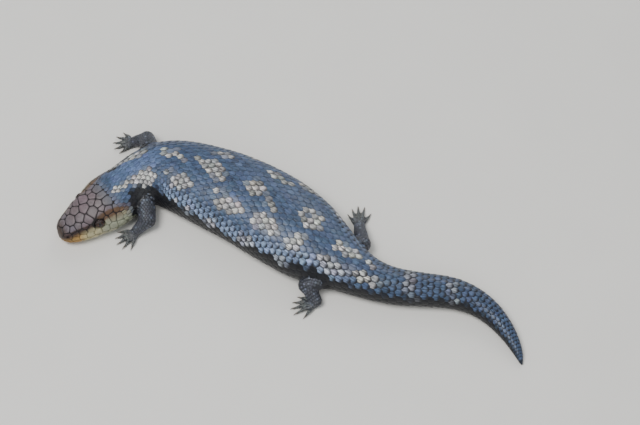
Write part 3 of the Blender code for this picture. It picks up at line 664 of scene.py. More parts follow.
def trunk_tint(s, r, places, patchy=0.5):
    """Colour of a trunk scale by its place on the chart."""
    colours = bpy.context.scene.skink_colours
    s, r = np.asarray(s, float), np.asarray(r, float)
    share = np.abs(r) / TRUNK.half_round(s)
    below = past_dark_and_shade_line(s, r) + rough(places, 4.0, 9.0) * 2.0
    torso = step_between(84, 104, s) * (1 - step_between(250, 275, s))
    # Just above the dark line, the flank colour: painted sheen of sky light, stronger on the animal's left
    # side, which faces the light
    flank_sheen = step_between(-15, -5, below) * torso * (0.35 + 0.65 * step_between(-12, 0, r))
    tint = blend(plain(colours.slate, s), colours.flank, flank_sheen)
    stripe = step_between(48, 56, s) * (1 - step_between(84, 96, s)) * (np.abs(r + 5) < 9)
    tint = blend(tint, colours.stripe, stripe)
    blotch = blotch_share(s, r, places, patchy)
    # Blotches in that band take a bluer pale, also painted sheen
    pale = blend(plain(colours.blotch, s), colours.flank_blotch_sheen, flank_sheen)
    pale = pale * (1 + 0.1 * rough(places, 2.5, 1.0)[..., None] * np.array((1.0, 0.2, -0.6)))
    # The tail's bands are faint
    blotch = blotch * (1 - 0.6 * step_between(282, 300, s))
    tint = tint * (1 - blotch[..., None]) + pale * blotch[..., None]
    # Below that line, the dark colour: partly the flank's own dark, partly painted shade of the lower flank
    # and armpits; blotches keep some of their pale
    low = step_between(-1.6, 1.2, below)
    tint = blend(tint, colours.dark, low * (1 - 0.7 * blotch))
    mottle = 0.5 + 0.5 * rough(places, 5.0, 3.0)
    belly = blend(plain(colours.belly, s), colours.dark, step_between(0.45, 0.75, mottle))
    under = step_between(0.7, 0.78, share)[..., None]
    tint = tint * (1 - under) + belly * under
    head = step_between(55, 45, s + 5.5 * step_between(19, 13, np.abs(r)))[..., None]
    return head_tint(s, r) * head + tint * (1 - head)


def trunk_edge(s, r, places, patchy=0.5):
    """How dark a trunk scale's rim is, and how dark its hind end, from 0 to 1."""
    below = past_dark_and_shade_line(s, r)
    blotch = blotch_share(s, r, places, patchy)
    # On the band of the flank's painted sheen, rims and hind ends are darker, which breaks the sheen into
    # bars
    flank = step_between(-17, -8, below) * (1 - step_between(6, 12, below)) * step_between(80, 100, s)
    tail = step_between(255, 285, s)
    rim = np.clip(0.34 + 0.56 * blotch + 0.25 * flank, 0, 1)
    end = np.clip(0.15 + 0.7 * blotch + 0.85 * flank + 0.4 * tail, 0, 1)
    return np.stack([rim, end], axis=1)


def head_tint(s, r):
    """Colour of the head by its place on the chart."""
    colours = bpy.context.scene.skink_colours
    s, r = np.asarray(s, float), np.abs(np.asarray(r, float))
    tint = plain(colours.crown, s)
    tint = blend(tint, colours.nape, 0.75 * step_between(33, 46, s) + 0.3 * step_between(18, 8, s))
    tint = blend(tint, colours.snout, step_between(8, 2, s))
    past_crown = r - along_trunk(CROWN_LINE, s)
    past_lip = r - along_trunk(LIP_LINE, s)
    # Past the crown's line, a band partly of the cheek shields' own dark brown, partly of painted shade under
    # the crown's edge, turning to the temple colour behind the eye
    cheek_and_shade = blend(plain(colours.cheek_and_shade, s), colours.temple, 0.7 * step_between(24, 33, s))
    tint = tint * (1 - step_between(-0.8, 0.6, past_crown)[..., None])
    tint = tint + cheek_and_shade * step_between(-0.8, 0.6, past_crown)[..., None]
    lips = blend(plain(colours.lip_front, s), colours.lip_middle, step_between(9, 19, s))
    lips = blend(lips, colours.lip_back, step_between(19, 34, s))
    lips = blend(lips, colours.cheek_and_shade, 0.75 * step_between(4.6, 0.0, past_lip) * step_between(30, 16, s))
    lips = blend(lips, colours.temple, 0.6 * step_between(5.0, 0.5, past_lip) * step_between(30, 38, s))
    share = step_between(-0.9, 0.7, past_lip)[..., None]
    return tint * (1 - share) + lips * share


# Skin


def head_dents(points, normals, s):
    """Pushes the sockets of eyes, nostrils and ears into the skin of the head."""
    moved = points.copy()
    places = []
    for sign in (1, -1):
        centre, forward, up, out = eye_frame(sign)
        places.append((centre + out * EYE_RADIUS * 0.7, forward, up, EYE_SOCKET, EYE_SOCKET_DEPTH))
        middle, forward, up, _ = nostril_frame(sign)
        places.append((middle, forward, up, (NOSTRIL_RADIUS * 1.5, NOSTRIL_RADIUS * 1.3), 2.0))
        middle, forward, up, _ = ear_frame(sign)
        places.append((middle, forward, up, EAR_HALF_SIZES, EAR_DEPTH))
    for middle, forward, up, (long, tall), depth in places:
        apart = points - middle
        close = np.linalg.norm(apart, axis=-1) < 9
        distance = np.hypot(apart @ forward / long, apart @ up / tall)
        push = depth * step_between(1.1, 0.6, distance) * close * (s < 70)
        moved -= normals * push[..., None]
    return moved


def trunk_body():
    """Points and faces of the trunk's skin, with rows along the lips for the mouth's line."""
    stations = np.concatenate([
        (0, 0.15, 0.4, 0.8, 1.3, 1.9, 2.6),
        np.arange(3.2, 62, 0.58),
        np.arange(62.5, 404, 2.2),
        np.arange(404.5, 411.1, 0.9),
    ])
    lip = TRUNK.round_at(stations, TRUNK.turn_of_height(stations, LIP_ABOVE_WIDEST))
    belly = TRUNK.half_round(stations)
    beside = np.minimum(0.35, 0.08 * lip)
    upper, lower = np.linspace(0, 1, 46), np.linspace(0, 1, 36)
    r = np.concatenate([
        upper[None, :] * (lip - beside)[:, None],
        lip[:, None],
        (lip + beside)[:, None] + lower[None, :] * (belly - lip - beside)[:, None],
    ], axis=1)
    # Left side from the crown to the belly, then the right side back up
    r = np.concatenate([r, -r[:, -2:0:-1]], axis=1)
    s = np.broadcast_to(stations[:, None], r.shape)
    points, normals = TRUNK.skin_place(s, r)
    half = TRUNK.read(stations)[4]
    groove = np.minimum(MOUTH_DEPTH, 0.3 * half)
    groove = groove * step_between(MOUTH_CORNER + 1, MOUTH_CORNER - 4, stations)
    for column in (len(upper), r.shape[1] - len(upper)):
        points[:, column] -= normals[:, column] * groove[:, None]
    points = head_dents(points, normals, s)
    points[..., 2] = np.maximum(points[..., 2], FLOOR_DEPTH)
    return closed_tube(points)


def swept_rings(path, wide, tall, sides):
    """Rings along a path, each wide to the sides and tall upwards."""
    path = np.asarray(path, float)
    ahead = unit(np.gradient(path, axis=0))
    side = unit(np.cross(ahead, (0, 0, 1)))
    over = np.cross(side, ahead)
    angle = np.linspace(0, 2 * math.pi, sides, endpoint=False)
    around = np.cos(angle)[None, :, None] * side[:, None] * np.asarray(wide)[:, None, None]
    around = around + np.sin(angle)[None, :, None] * over[:, None] * np.asarray(tall)[:, None, None]
    return path[:, None] + around


def rounded_limb(start, end, start_radius, end_radius, sides=20):
    """A limb's length between two joints, with a dome at each."""
    start, end = np.asarray(start, float), np.asarray(end, float)
    ahead = unit(end - start)
    length = np.linalg.norm(end - start)
    domes = np.sin(np.radians((86, 65, 44, 22, 0)))
    path = [start - ahead * start_radius * d for d in domes]
    radii = [start_radius * math.sqrt(1 - d * d) for d in domes]
    for t in np.linspace(0.15, 0.85, 6):
        path.append(start + ahead * length * t)
        radii.append((start_radius + (end_radius - start_radius) * t) * (1 + 0.06 * math.sin(math.pi * t)))
    path += [end + ahead * end_radius * d for d in domes[::-1]]
    radii += [end_radius * math.sqrt(1 - d * d) for d in domes[::-1]]
    return closed_tube(swept_rings(path, radii, radii, sides))


def limb_places(limb):
    root, knee, ankle = (np.array(limb[joint]) + LIMB_SHIFT for joint in ("root", "knee", "ankle"))
    heading = math.radians(limb["heading"])
    forward = np.array((math.cos(heading), math.sin(heading), 0))
    palm = np.array((ankle[0], ankle[1], PALM_HEIGHT)) + forward * PALM_AHEAD
    return root, knee, ankle, palm, forward


def toe_paths(limb):
    """Each toe's middle line from the palm to its tip, with the direction that it points."""
    *_, palm, forward = limb_places(limb)
    side = np.array((-forward[1], forward[0], 0))
    up = np.array((0, 0, 1.0))
    for k, (spread, length) in enumerate(zip(limb["spread"], limb["toes"])):
        turn = math.radians(limb["heading"] + spread)
        ahead = np.array((math.cos(turn), math.sin(turn), 0))
        rank = (k - 2) / 2
        root = palm + forward * (1.6 - 1.2 * rank * rank) + side * rank * 2.9
        root[2] = TOE_RADII[0] + 0.2
        reach = length + 2.2
        knuckle = root + ahead * reach * 0.5 + up * TOE_LIFT
        tip = root + ahead * reach
        tip[2] = TOE_RADII[3] * 0.8
        first = root + 0.55 * (knuckle - root) + up * 0.2
        last = knuckle + 0.6 * (tip - knuckle)
        yield np.array((root, first, knuckle, last, tip)), ahead


def resampled(path, values, spacing):
    """The path and the values along it, smooth and at even spacing."""
    path = np.asarray(path, float)
    distance = np.concatenate([[0], np.cumsum(np.linalg.norm(np.diff(path, axis=0), axis=1))])
    at = np.linspace(0, distance[-1], max(3, round(distance[-1] / spacing) + 1))
    smooth = np.stack([smooth_through(distance, path[:, k], at) for k in range(3)], axis=1)
    return smooth, [smooth_through(distance, v, at) for v in values], at


def limb_body(limb):
    """Points and faces of a limb with its foot, as overlapping closed bodies."""
    root, knee, ankle, palm, forward = limb_places(limb)
    thick = np.array(limb["radii"]) - LIMB_DEPTH
    parts = [
        rounded_limb(root, knee, thick[0], thick[1] * 0.92),
        rounded_limb(knee, ankle, thick[2], thick[3]),
    ]
    long, wide, tall = np.array(PALM_HALF_SIZES) - LIMB_DEPTH
    share = np.sin(np.radians(np.linspace(-86, 86, 13)))
    path = palm + forward * (share * long)[:, None]
    squash = np.sqrt(1 - share**2)
    parts.append(closed_tube(swept_rings(path, wide * squash, tall * squash, 24)))
    for toe, ahead in toe_paths(limb):
        path, (radii,), _ = resampled(toe, [np.array(TOE_RADII) - LIMB_DEPTH * 0.6], 0.8)
        ends = [(path[0] - ahead * 0.9, radii[0] * 0.5)]
        tips = [(path[-1] + ahead * 0.45, radii[-1] * 0.8), (path[-1] + ahead * 0.75, radii[-1] * 0.35)]
        path = np.array([p for p, _ in ends] + list(path) + [p for p, _ in tips])
        radii = np.array([r for _, r in ends] + list(radii) + [r for _, r in tips])
        # The pads under the joints of the toe
        radii = radii * (1 + 0.07 * np.cos(np.arange(len(radii)) * 2.1))
        parts.append(closed_tube(swept_rings(path, radii, radii, 16)))
    return join_parts(parts)


def limb_skin(name, limb):
    points, faces = limb_body(limb)
    mesh = new_mesh(name, points, faces)
    faces_out(mesh)
    obj = new_object(name, mesh)
    remesh = obj.modifiers.new("remesh", "REMESH")
    remesh.mode = "VOXEL"
    remesh.voxel_size = bpy.context.scene.skink_sizes.skin_grain
    smooth = obj.modifiers.new("smooth", "SMOOTH")
    smooth.factor = 0.5
    smooth.iterations = 6
    bake_modifiers(obj)
    points = read_points(obj.data)
    points[:, 2] = np.maximum(points[:, 2], LIMB_DEPTH)
    obj.data.vertices.foreach_set("co", (points * MM).ravel())
    return obj


def smoothed_where(points, edges, weights, rounds):
    """The points drawn towards their neighbours' middle, by a weight for each."""
    count = np.bincount(edges.ravel(), minlength=len(points))[:, None]
    for _ in range(rounds):
        total = np.zeros_like(points)
        np.add.at(total, edges[:, 0], points[edges[:, 1]])
        np.add.at(total, edges[:, 1], points[edges[:, 0]])
        points = points + (total / np.maximum(count, 1) - points) * (weights[:, None] * 0.6)
    return points


def chart_tree():
    """A tree of places on the trunk, and their chart, to find the chart of any point near it."""
    s, share = np.meshgrid(np.arange(0, TOTAL_LENGTH, 1.0), np.linspace(-1, 1, 161), indexing="ij")
    s, share = s.ravel(), share.ravel()
    r = share * TRUNK.half_round(s)
    places = TRUNK.point(s, TRUNK.turn_at(s, r))
    tree = KDTree(len(places))
    for k, place in enumerate(places):
        tree.insert(Vector(place), k)
    tree.balance()
    return tree, s, r


def build_skin():
    """One closed skin over trunk, legs and feet."""
    body = new_object("skin", new_mesh("skin", *trunk_body()))
    faces_out(body.data)
    trunk_tree = tree_of(body)
    limbs = [limb_skin("limb_" + name, limb) for name, limb in LIMBS.items()]
    limb_trees = [tree_of(limb) for limb in limbs]
    for limb in limbs:
        joined = body.modifiers.new("join_" + limb.name, "BOOLEAN")
        joined.operation = "UNION"
        joined.object = limb
        joined.solver = "MANIFOLD"
    bake_modifiers(body)
    body.data.materials.clear()
    points = read_points(body.data)
    off_trunk = nearest_on(trunk_tree, points)[2]
    off_limbs = np.full(len(points), 99.0)
    for limb, tree in zip(limbs, limb_trees):
        reach = read_points(limb.data)
        near = np.all((points > reach.min(axis=0) - FILLET) & (points < reach.max(axis=0) + FILLET), axis=1)
        off_limbs[near] = np.minimum(off_limbs[near], nearest_on(tree, points[near])[2])
    for limb in limbs:
        bpy.data.objects.remove(limb)
    edges = np.empty(len(body.data.edges) * 2, int)
    body.data.edges.foreach_get("vertices", edges)
    weights = step_between(FILLET, 0, np.maximum(off_trunk, off_limbs))
    points = smoothed_where(points, edges.reshape(-1, 2), weights, 30)
    body.data.vertices.foreach_set("co", (points * MM).ravel())
    body.data.update()
    paint_skin(body, points, off_trunk)
    return body


def paint_skin(body, points, off_trunk):
    colours = bpy.context.scene.skink_colours
    tree, s, r = chart_tree()
    nearest = np.array([tree.find(Vector(p))[1] for p in points])
    s, r = s[nearest], r[nearest]
    share = np.abs(r) / TRUNK.half_round(s)
    tint = blend(plain(colours.skin, s), trunk_tint(s, r, points) * 0.5, np.full(len(points), 0.25))
    tint = blend(tint, np.array(colours.belly) * 0.5, step_between(0.68, 0.76, share))
    tint = blend(tint, colours.crown_skin, step_between(52, 44, s))
    past_lip = np.abs(r) - along_trunk(LIP_LINE, s)
    tint = blend(tint, head_tint(s, r) * 0.5, step_between(0.5, 3.0, past_lip) * step_between(52, 46, s))
    tint = blend(tint, np.array(colours.limb) * 0.4, step_between(0.6, 2.5, off_trunk))
    write_attribute(body.data, "tint", "FLOAT_COLOR", tint)
    body.data.shade_smooth()
    normals = np.empty(len(points) * 3)
    body.data.vertex_normals.foreach_get("vector", normals)
    write_attribute(body.data, "lie", "FLOAT_VECTOR", normals)


# Scales


def scale_shape(name, outline, middle, profile, tilt, dome):
    """One scale to be repeated, 1 wide and 1 long, with its root at the origin and its hind edge along +Y.

    The outline runs once round. Each ring of the profile has its share of the outline, its drop and how close
    it is to the rim. The scale rises from root to hind edge by the tilt and falls to its sides by the dome.
    """
    outline = np.array(outline, float)
    middle = np.array(middle, float)
    points = [(*middle, tilt[0] + (tilt[1] - tilt[0]) * middle[1])]
    rims, patches, spots = [0.0], [(0.5, 0.5)], [(*middle, 0)]
    round_share = np.linspace(0, 2 * math.pi, len(outline), endpoint=False)
    for number, (share, drop, rim) in enumerate(profile):
        for (x, y), angle in zip(middle + (outline - middle) * share, round_share):
            lift = tilt[0] + (tilt[1] - tilt[0]) * y - dome * (2 * x) ** 2
            points.append((x, y, lift - drop))
            rims.append(rim)
            spots.append((x, y, 0))
            out = 0.5 * (number + 1) / len(profile)
            patches.append((0.5 + out * math.sin(angle), 0.5 + out * math.cos(angle)))
    count = len(outline)
    faces = [(0, 1 + (j + 1) % count, 1 + j) for j in range(count)]
    faces += [tuple(1 + i for i in face) for face in grid_faces(len(profile), count)]
    start = 1 + (len(profile) - 1) * count
    faces.append(tuple(start + j for j in range(count)))
    mesh = new_mesh(name, np.array(points) / MM, faces)
    faces_out(mesh)
    write_attribute(mesh, "rise", "FLOAT", [p[2] for p in points])
    write_attribute(mesh, "rim", "FLOAT", rims)
    write_attribute(mesh, "patch", "FLOAT_VECTOR", [(u - 0.5, v - 0.5, 0) for u, v in patches])
    write_attribute(mesh, "spot", "FLOAT_VECTOR", spots)
    return new_object(name, mesh)


def mirrored_outline(half):
    """An outline from its left half, which starts at the tip in the middle and ends at the root."""
    return list(half) + [(-x, y) for x, y in reversed(half) if x != 0]


def trunk_scale_shape():
    half = [(0, 1.0), (0.19, 0.975), (0.36, 0.9), (0.47, 0.78), (0.5, 0.56), (0.34, 0.0)]
    profile = ((0.6, 0.0, 0.2), (0.9, 0.06, 0.7), (1.0, 0.3, 1.0), (0.98, 0.8, 1.0))
    return scale_shape("trunk_scale", mirrored_outline(half), (0, 0.66), profile, (-0.5, 1.0), 0.28)


def small_scale_shape():
    half = [(0, 1.0), (0.32, 0.9), (0.5, 0.55), (0.4, 0.05), (0, -0.05)]
    profile = ((0.66, 0.02, 0.4), (1.0, 0.35, 1.0), (0.98, 1.0, 1.0))
    return scale_shape("small_scale", mirrored_outline(half), (0, 0.52), profile, (-0.3, 1.0), 0.35)


def pick(sockets, name):
    """The socket of that name which is in use."""
    return next(s for s in sockets if s.name == name and s.enabled)


def join_socket(tree, value, socket):
    """Links the value if it is another node's, or else sets it."""
    if isinstance(value, bpy.types.NodeSocket):
        tree.links.new(value, socket)
    else:
        socket.default_value = value


def add_node(tree, kind, inputs=None, **settings):
    """A node with its settings made and each input linked or set."""
    node = tree.nodes.new(kind)
    for name, value in settings.items():
        setattr(node, name, value)
    for name, value in (inputs or {}).items():
        join_socket(tree, value, node.inputs[name] if isinstance(name, int) else pick(node.inputs, name))
    return node


def calculated(tree, operation, *values):
    """The result of that sum of plain values."""
    node = add_node(tree, "ShaderNodeMath", dict(enumerate(values)), operation=operation)
    return node.outputs["Value"]


def vector_math(tree, operation, *values):
    node = add_node(tree, "ShaderNodeVectorMath", dict(enumerate(values)), operation=operation)
    return node.outputs["Vector"]


def scaled(tree, vector, factor):
    node = add_node(tree, "ShaderNodeVectorMath", {"Vector": vector, "Scale": factor}, operation="SCALE")
    return node.outputs["Vector"]


def ranged(tree, value, low, high, to=(0.0, 1.0), kind="LINEAR"):
    """The value's place between low and high, clamped, as a place in the other range."""
    inputs = {"Value": value, "From Min": low, "From Max": high, "To Min": to[0], "To Max": to[1]}
    return add_node(tree, "ShaderNodeMapRange", inputs, interpolation_type=kind).outputs["Result"]


def noise_of(tree, vector, size, detail, roughness=0.5):
    inputs = {"Vector": vector, "Scale": size, "Detail": detail, "Roughness": roughness}
    return add_node(tree, "ShaderNodeTexNoise", inputs).outputs["Fac"]


def scale_coat_tree():
    """Sets a scale on every point, lays it on the skin, and puts its patch on the unwrapped coat."""
    tree = bpy.data.node_groups.new("scale_coat", "GeometryNodeTree")
    for name, kind in (
        ("Geometry", "NodeSocketGeometry"), ("Scale", "NodeSocketObject"), ("Skin", "NodeSocketObject"),
        ("Patch", "NodeSocketFloat"), ("Finish", "NodeSocketMaterial"),
    ):
        tree.interface.new_socket(name, in_out="INPUT", socket_type=kind)
    tree.interface.new_socket("Geometry", in_out="OUTPUT", socket_type="NodeSocketGeometry")
    given = tree.nodes.new("NodeGroupInput").outputs

    def named(name, kind="FLOAT_VECTOR"):
        node = add_node(tree, "GeometryNodeInputNamedAttribute", {"Name": name}, data_type=kind)
        return pick(node.outputs, "Attribute")

    def on_skin(value):
        """The skin's value at the place nearest to the flattened scale's."""
        node = add_node(
            tree, "GeometryNodeSampleNearestSurface",
            {"Mesh": skin, "Value": value, "Sample Position": flat}, data_type="FLOAT_VECTOR",
        )
        return pick(node.outputs, "Value")

    shape = add_node(tree, "GeometryNodeObjectInfo", {"Object": given["Scale"]}).outputs["Geometry"]
    skin = add_node(tree, "GeometryNodeObjectInfo", {"Object": given["Skin"]}).outputs["Geometry"]
    turned = add_node(
        tree, "FunctionNodeAxesToRotation",
        {"Primary Axis": named("out"), "Secondary Axis": named("along")},
        primary_axis="Z", secondary_axis="Y",
    ).outputs["Rotation"]
    placed = add_node(
        tree, "GeometryNodeInstanceOnPoints",
        {"Points": given["Geometry"], "Instance": shape, "Rotation": turned, "Scale": named("size")},
    ).outputs["Instances"]
    real = add_node(tree, "GeometryNodeRealizeInstances", {"Geometry": placed}).outputs["Geometry"]
    thick = add_node(tree, "ShaderNodeSeparateXYZ", {"Vector": named("size")}).outputs["Z"]
    height = calculated(tree, "MULTIPLY", named("rise", "FLOAT"), thick)
    position = add_node(tree, "GeometryNodeInputPosition").outputs["Position"]
    flat = vector_math(tree, "SUBTRACT", position, scaled(tree, named("out"), height))
    lie = vector_math(tree, "NORMALIZE", on_skin(named("lie")))
    lifted = vector_math(tree, "ADD", on_skin(position), scaled(tree, lie, height))
    above_floor = vector_math(tree, "MAXIMUM", lifted, (-10, -10, 0))
    laid = add_node(tree, "GeometryNodeSetPosition", {"Geometry": real, "Position": above_floor})
    laid = laid.outputs["Geometry"]
    spot = vector_math(tree, "ADD", named("chart"), scaled(tree, named("patch"), given["Patch"]))
    mapped = add_node(
        tree, "GeometryNodeStoreNamedAttribute", {"Geometry": laid, "Name": "OFBake", "Value": spot},
        data_type="FLOAT2", domain="CORNER",
    ).outputs["Geometry"]
    for name in ("out", "along", "size", "chart", "patch", "rise"):
        cleared = add_node(tree, "GeometryNodeRemoveAttribute", {"Geometry": mapped, "Name": name})
        mapped = cleared.outputs["Geometry"]
    shaded = add_node(tree, "GeometryNodeSetShadeSmooth", {"Geometry": mapped}).outputs["Geometry"]
    finished = add_node(
        tree, "GeometryNodeSetMaterial", {"Geometry": shaded, "Material": given["Finish"]}
    ).outputs["Geometry"]
    made = tree.nodes.new("NodeGroupOutput")
    tree.links.new(finished, made.inputs["Geometry"])
    return tree


def coat_piece(name, seeds, shape, skin, finish):
    """The scales of those seeds as one plain mesh."""
    mesh = new_mesh(name + "_points", seeds["place"], [])
    for label, kind, values in (
        ("out", "FLOAT_VECTOR", seeds["out"]),
        ("along", "FLOAT_VECTOR", seeds["along"]),
        ("size", "FLOAT_VECTOR", seeds["size"] * MM),
        ("chart", "FLOAT_VECTOR", np.pad(seeds["chart"], ((0, 0), (0, 1)))),
        ("tint", "FLOAT_COLOR", seeds["tint"]),
        ("edge", "FLOAT", seeds["edge"][:, 0]),
        ("end", "FLOAT", seeds["edge"][:, 1]),
        ("number", "FLOAT", np.random.default_rng(1).random(len(seeds["place"])) * 90),
    ):
        write_attribute(mesh, label, kind, values)
    obj = new_object(name, mesh)
    tree = bpy.data.node_groups.get("scale_coat") or scale_coat_tree()
    made = obj.modifiers.new("coat", "NODES")
    made.node_group = tree
    given = {"Scale": shape, "Skin": skin, "Patch": bpy.context.scene.skink_sizes.patch, "Finish": finish}
    for item in tree.interface.items_tree:
        if item.name in given:
            made[item.identifier] = given[item.name]
    bake_modifiers(obj)
    if len(obj.data.polygons) == 0:
        raise RuntimeError(name + " has no scales")
    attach(obj, "root")
    return obj


def ring_rows(s, ring):
    """Where the scales of one ring lie round the trunk, and how wide they are."""
    width = np.interp(s, SCALE_PLAN[:, 0], SCALE_PLAN[:, 2])
    half = float(TRUNK.half_round(s))
    count = max(5, round(2 * half / width))
    number = np.arange(count) - count // 2 + 0.5 * (ring % 2)
    regular = REGULAR_SHARE * count / 2
    closing = (half - regular * width) / (count / 2 - regular)
    r = np.where(
        np.abs(number) <= regular,
        number * width,
        np.sign(number) * (regular * width + (np.abs(number) - regular) * closing),
    )
    return r, np.full(count, width)


def trunk_seeds(skin_tree):
    """Where each trunk scale grows, in staggered rings from the throat to the tail's tip."""
    rings, s, ring = [], FIRST_RING, 0
    while s < LAST_RING:
        r, width = ring_rows(s, ring)
        rings.append((np.full(len(r), s), r, width))
        s += np.interp(s, SCALE_PLAN[:, 0], SCALE_PLAN[:, 1])
        ring += 1
    s, r, width = (np.concatenate(part) for part in zip(*rings))
    spacing = np.interp(s, SCALE_PLAN[:, 0], SCALE_PLAN[:, 1])
    draw = np.random.default_rng(7)
    s = s + draw.normal(0, 0.025, len(s)) * spacing
    r = r + draw.normal(0, 0.015, len(s)) * width
    place, out = TRUNK.skin_place(s, r)
    ahead = TRUNK.skin_place(np.minimum(s + 0.5, TOTAL_LENGTH), r)[0]
    behind = TRUNK.skin_place(s - 0.5, r)[0]
    stretch = np.linalg.norm(ahead - behind, axis=1)
    along = unit(ahead - behind)
    # Roots lie ahead of the scale's own ring, under the scales before it
    own = place
    place = place - along * (spacing * stretch * SCALE_ROOT)[:, None]
    apart = nearest_on(skin_tree, own)[2]
    kept = (apart < 1.1) & ~near_shields(own) & ~in_ears(own)
    rise = bpy.context.scene.skink_sizes.scale_rise / MM
    size = np.stack([
        width * (1 + draw.normal(0, 0.015, len(s))),
        spacing * stretch * SCALE_REACH * (1 + draw.normal(0, 0.02, len(s))),
        rise * np.interp(width, (1.4, 3, 6), (0.45, 0.75, 1.0)) * (1 + draw.normal(0, 0.06, len(s))),
    ], axis=1)
    patchy = draw.random(len(s))
    pale = blotch_share(s, r, own, patchy)
    tint = scale_tints(trunk_tint(s, r, own, patchy), draw, 0.12 + 0.1 * pale[:, None])
    return {
        "s": s, "r": r, "place": place, "own": own, "out": out, "along": along, "size": size, "tint": tint,
        "edge": trunk_edge(s, r, own, patchy), "kept": kept,
    }


def scale_tints(tint, draw, spread=0.10):
    """Each scale's own colour, a little lighter or darker than its neighbours'."""
    light = 1 + draw.normal(0, 1, (len(tint), 1)) * spread
    hue = 1 + draw.normal(0, 0.025, (len(tint), 3))
    return np.clip(tint * light * hue, 0, 1)


def in_ears(places):
    inside = np.zeros(len(places), bool)
    for sign in (1, -1):
        middle, forward, up, _ = ear_frame(sign)
        apart = places - middle
        long, tall = np.array(EAR_HALF_SIZES) + EAR_CLEAR
        distance = np.hypot(apart @ forward / long, apart @ up / tall)
        inside |= (distance < 1) & (np.linalg.norm(apart, axis=1) < 8)
    return inside


def near_shields(places):
    """Which places lie among the head shields, or in an eye's socket."""
    shields = [(seed["place"], seed["reach"]) for seed in shield_seeds()]
    score = []
    for group in (shields, guard_places()):
        seeds = np.array([place for place, _ in group])
        reach = np.array([reach for _, reach in group])
        apart = np.linalg.norm(places[:, None] - seeds[None], axis=2)
        score.append((apart**2 - reach**2).min(axis=1))
    taken = score[0] < score[1]
    for sign in (1, -1):
        taken |= np.linalg.norm(places - eye_frame(sign)[0], axis=1) < EYE_CLEAR
    return taken


def limb_lines(limb):
    """The middle lines that a limb's scales follow: path, half width, half height and width of a scale."""
    root, knee, ankle, palm, forward = limb_places(limb)
    thick = limb["radii"]
    path = (root, knee, ankle, palm, palm + forward * 4.4)
    wide = (thick[0], thick[2], thick[3], PALM_HALF_SIZES[1], 3.4)
    tall = (thick[0], thick[2], thick[3] * 0.95, PALM_HALF_SIZES[2], 2.2)
    top, low, sole, digit = LIMB_SCALES
    yield path, wide, tall, (top, (top + low) / 2, low, sole, sole)
    for toe, ahead in toe_paths(limb):
        path = np.concatenate([toe[1:], toe[-1:] + ahead * 0.4])
        radii = np.array((*TOE_RADII[1:], TOE_RADII[-1]))
        yield path, radii, radii, np.full(len(path), digit)


def limb_seeds(names, skin_tree, taken):
    """Where each scale of those limbs grows, clear of the places already taken."""
    draw = np.random.default_rng(11)
    rise = bpy.context.scene.skink_sizes.limb_scale_rise / MM
    colours = bpy.context.scene.skink_colours
    grown = {key: [] for key in ("place", "out", "along", "size", "tint", "edge", "chart")}
    claimed = [np.asarray(taken)]
    for number, name in enumerate(names):
        for line, (path, wide, tall, scale) in enumerate(limb_lines(LIMBS[name])):
            middle_width = float(np.mean(scale))
            spacing = middle_width * 0.8
            given = [np.array(values, float) for values in (wide, tall, scale)]
            smooth, (wide, tall, scale), at = resampled(path, given, spacing)
            ahead = unit(np.gradient(smooth, axis=0))
            side = unit(np.cross(ahead, (0, 0, 1)))
            over = np.cross(side, ahead)
            for k in range(len(smooth)):
                count = max(5, round(math.pi * (wide[k] + tall[k]) / scale[k]))
                angle = (np.arange(count) + 0.5 * (k % 2)) / count * 2 * math.pi + math.pi / 2
                ring = smooth[k] + np.cos(angle)[:, None] * side[k] * wide[k]
                ring = ring + np.sin(angle)[:, None] * over[k] * tall[k]
                found, normal, apart = nearest_on(skin_tree, ring)
                ok = (apart < 1.8) & (found[:, 2] > LIMB_DEPTH * 0.5)
                others = np.concatenate(claimed)
                close = np.linalg.norm(found[:, None] - others[None], axis=2).min(axis=1)
                ok &= close > LIMB_SCALE_APART * scale[k]
                if not ok.any():
                    continue
                found, normal, angle = found[ok], normal[ok], angle[ok]
                claimed.append(found)
                grown["place"].append(found)
                grown["out"].append(normal)
                grown["along"].append(np.tile(ahead[k], (len(found), 1)))
                size = np.array((scale[k] * 1.02, spacing * 1.75, rise * (0.8 if line else 1.0)))
                grown["size"].append(size * (1 + draw.normal(0, 0.04, found.shape)))
                grown["tint"].append(limb_tint(colours, line, at[k] / at[-1], found, draw))
                grown["edge"].append(np.full((len(found), 2), (0.55, 0.2)))
                grown["chart"].append(limb_chart(number, line, at[k] / at[-1], (angle / 2 / math.pi) % 1))
    return {key: np.concatenate(parts) for key, parts in grown.items()}


def limb_tint(colours, line, share, places, draw):
    """Slate legs with pale speckles, paler on the toes."""
    pale = (draw.random(len(places)) < 0.22) & (rough(places, 6.0, 4.0) > -0.25)
    tint = blend(plain(colours.limb, pale), colours.speckle, pale * 0.8)
    reach = 1.0 if line else step_between(0.72, 1.0, share) * 0.7
    tint = blend(tint, colours.toe, np.full(len(places), 0.85 * reach))
    return scale_tints(tint, draw, 0.12)


def limb_chart(number, line, share, angle):
    """The scales' places on the unwrapped limb: the leg in one strip, each toe in its own."""
    low = 0.01 + 0.5 * number
    if line == 0:
        u = np.full(len(angle), 0.01 + 0.69 * share)
        return np.stack([u, low + 0.48 * angle], axis=1)
    u = np.full(len(angle), 0.73 + 0.25 * share)
    return np.stack([u, low + 0.096 * (line - 1) + 0.085 * angle], axis=1)


# Head shields


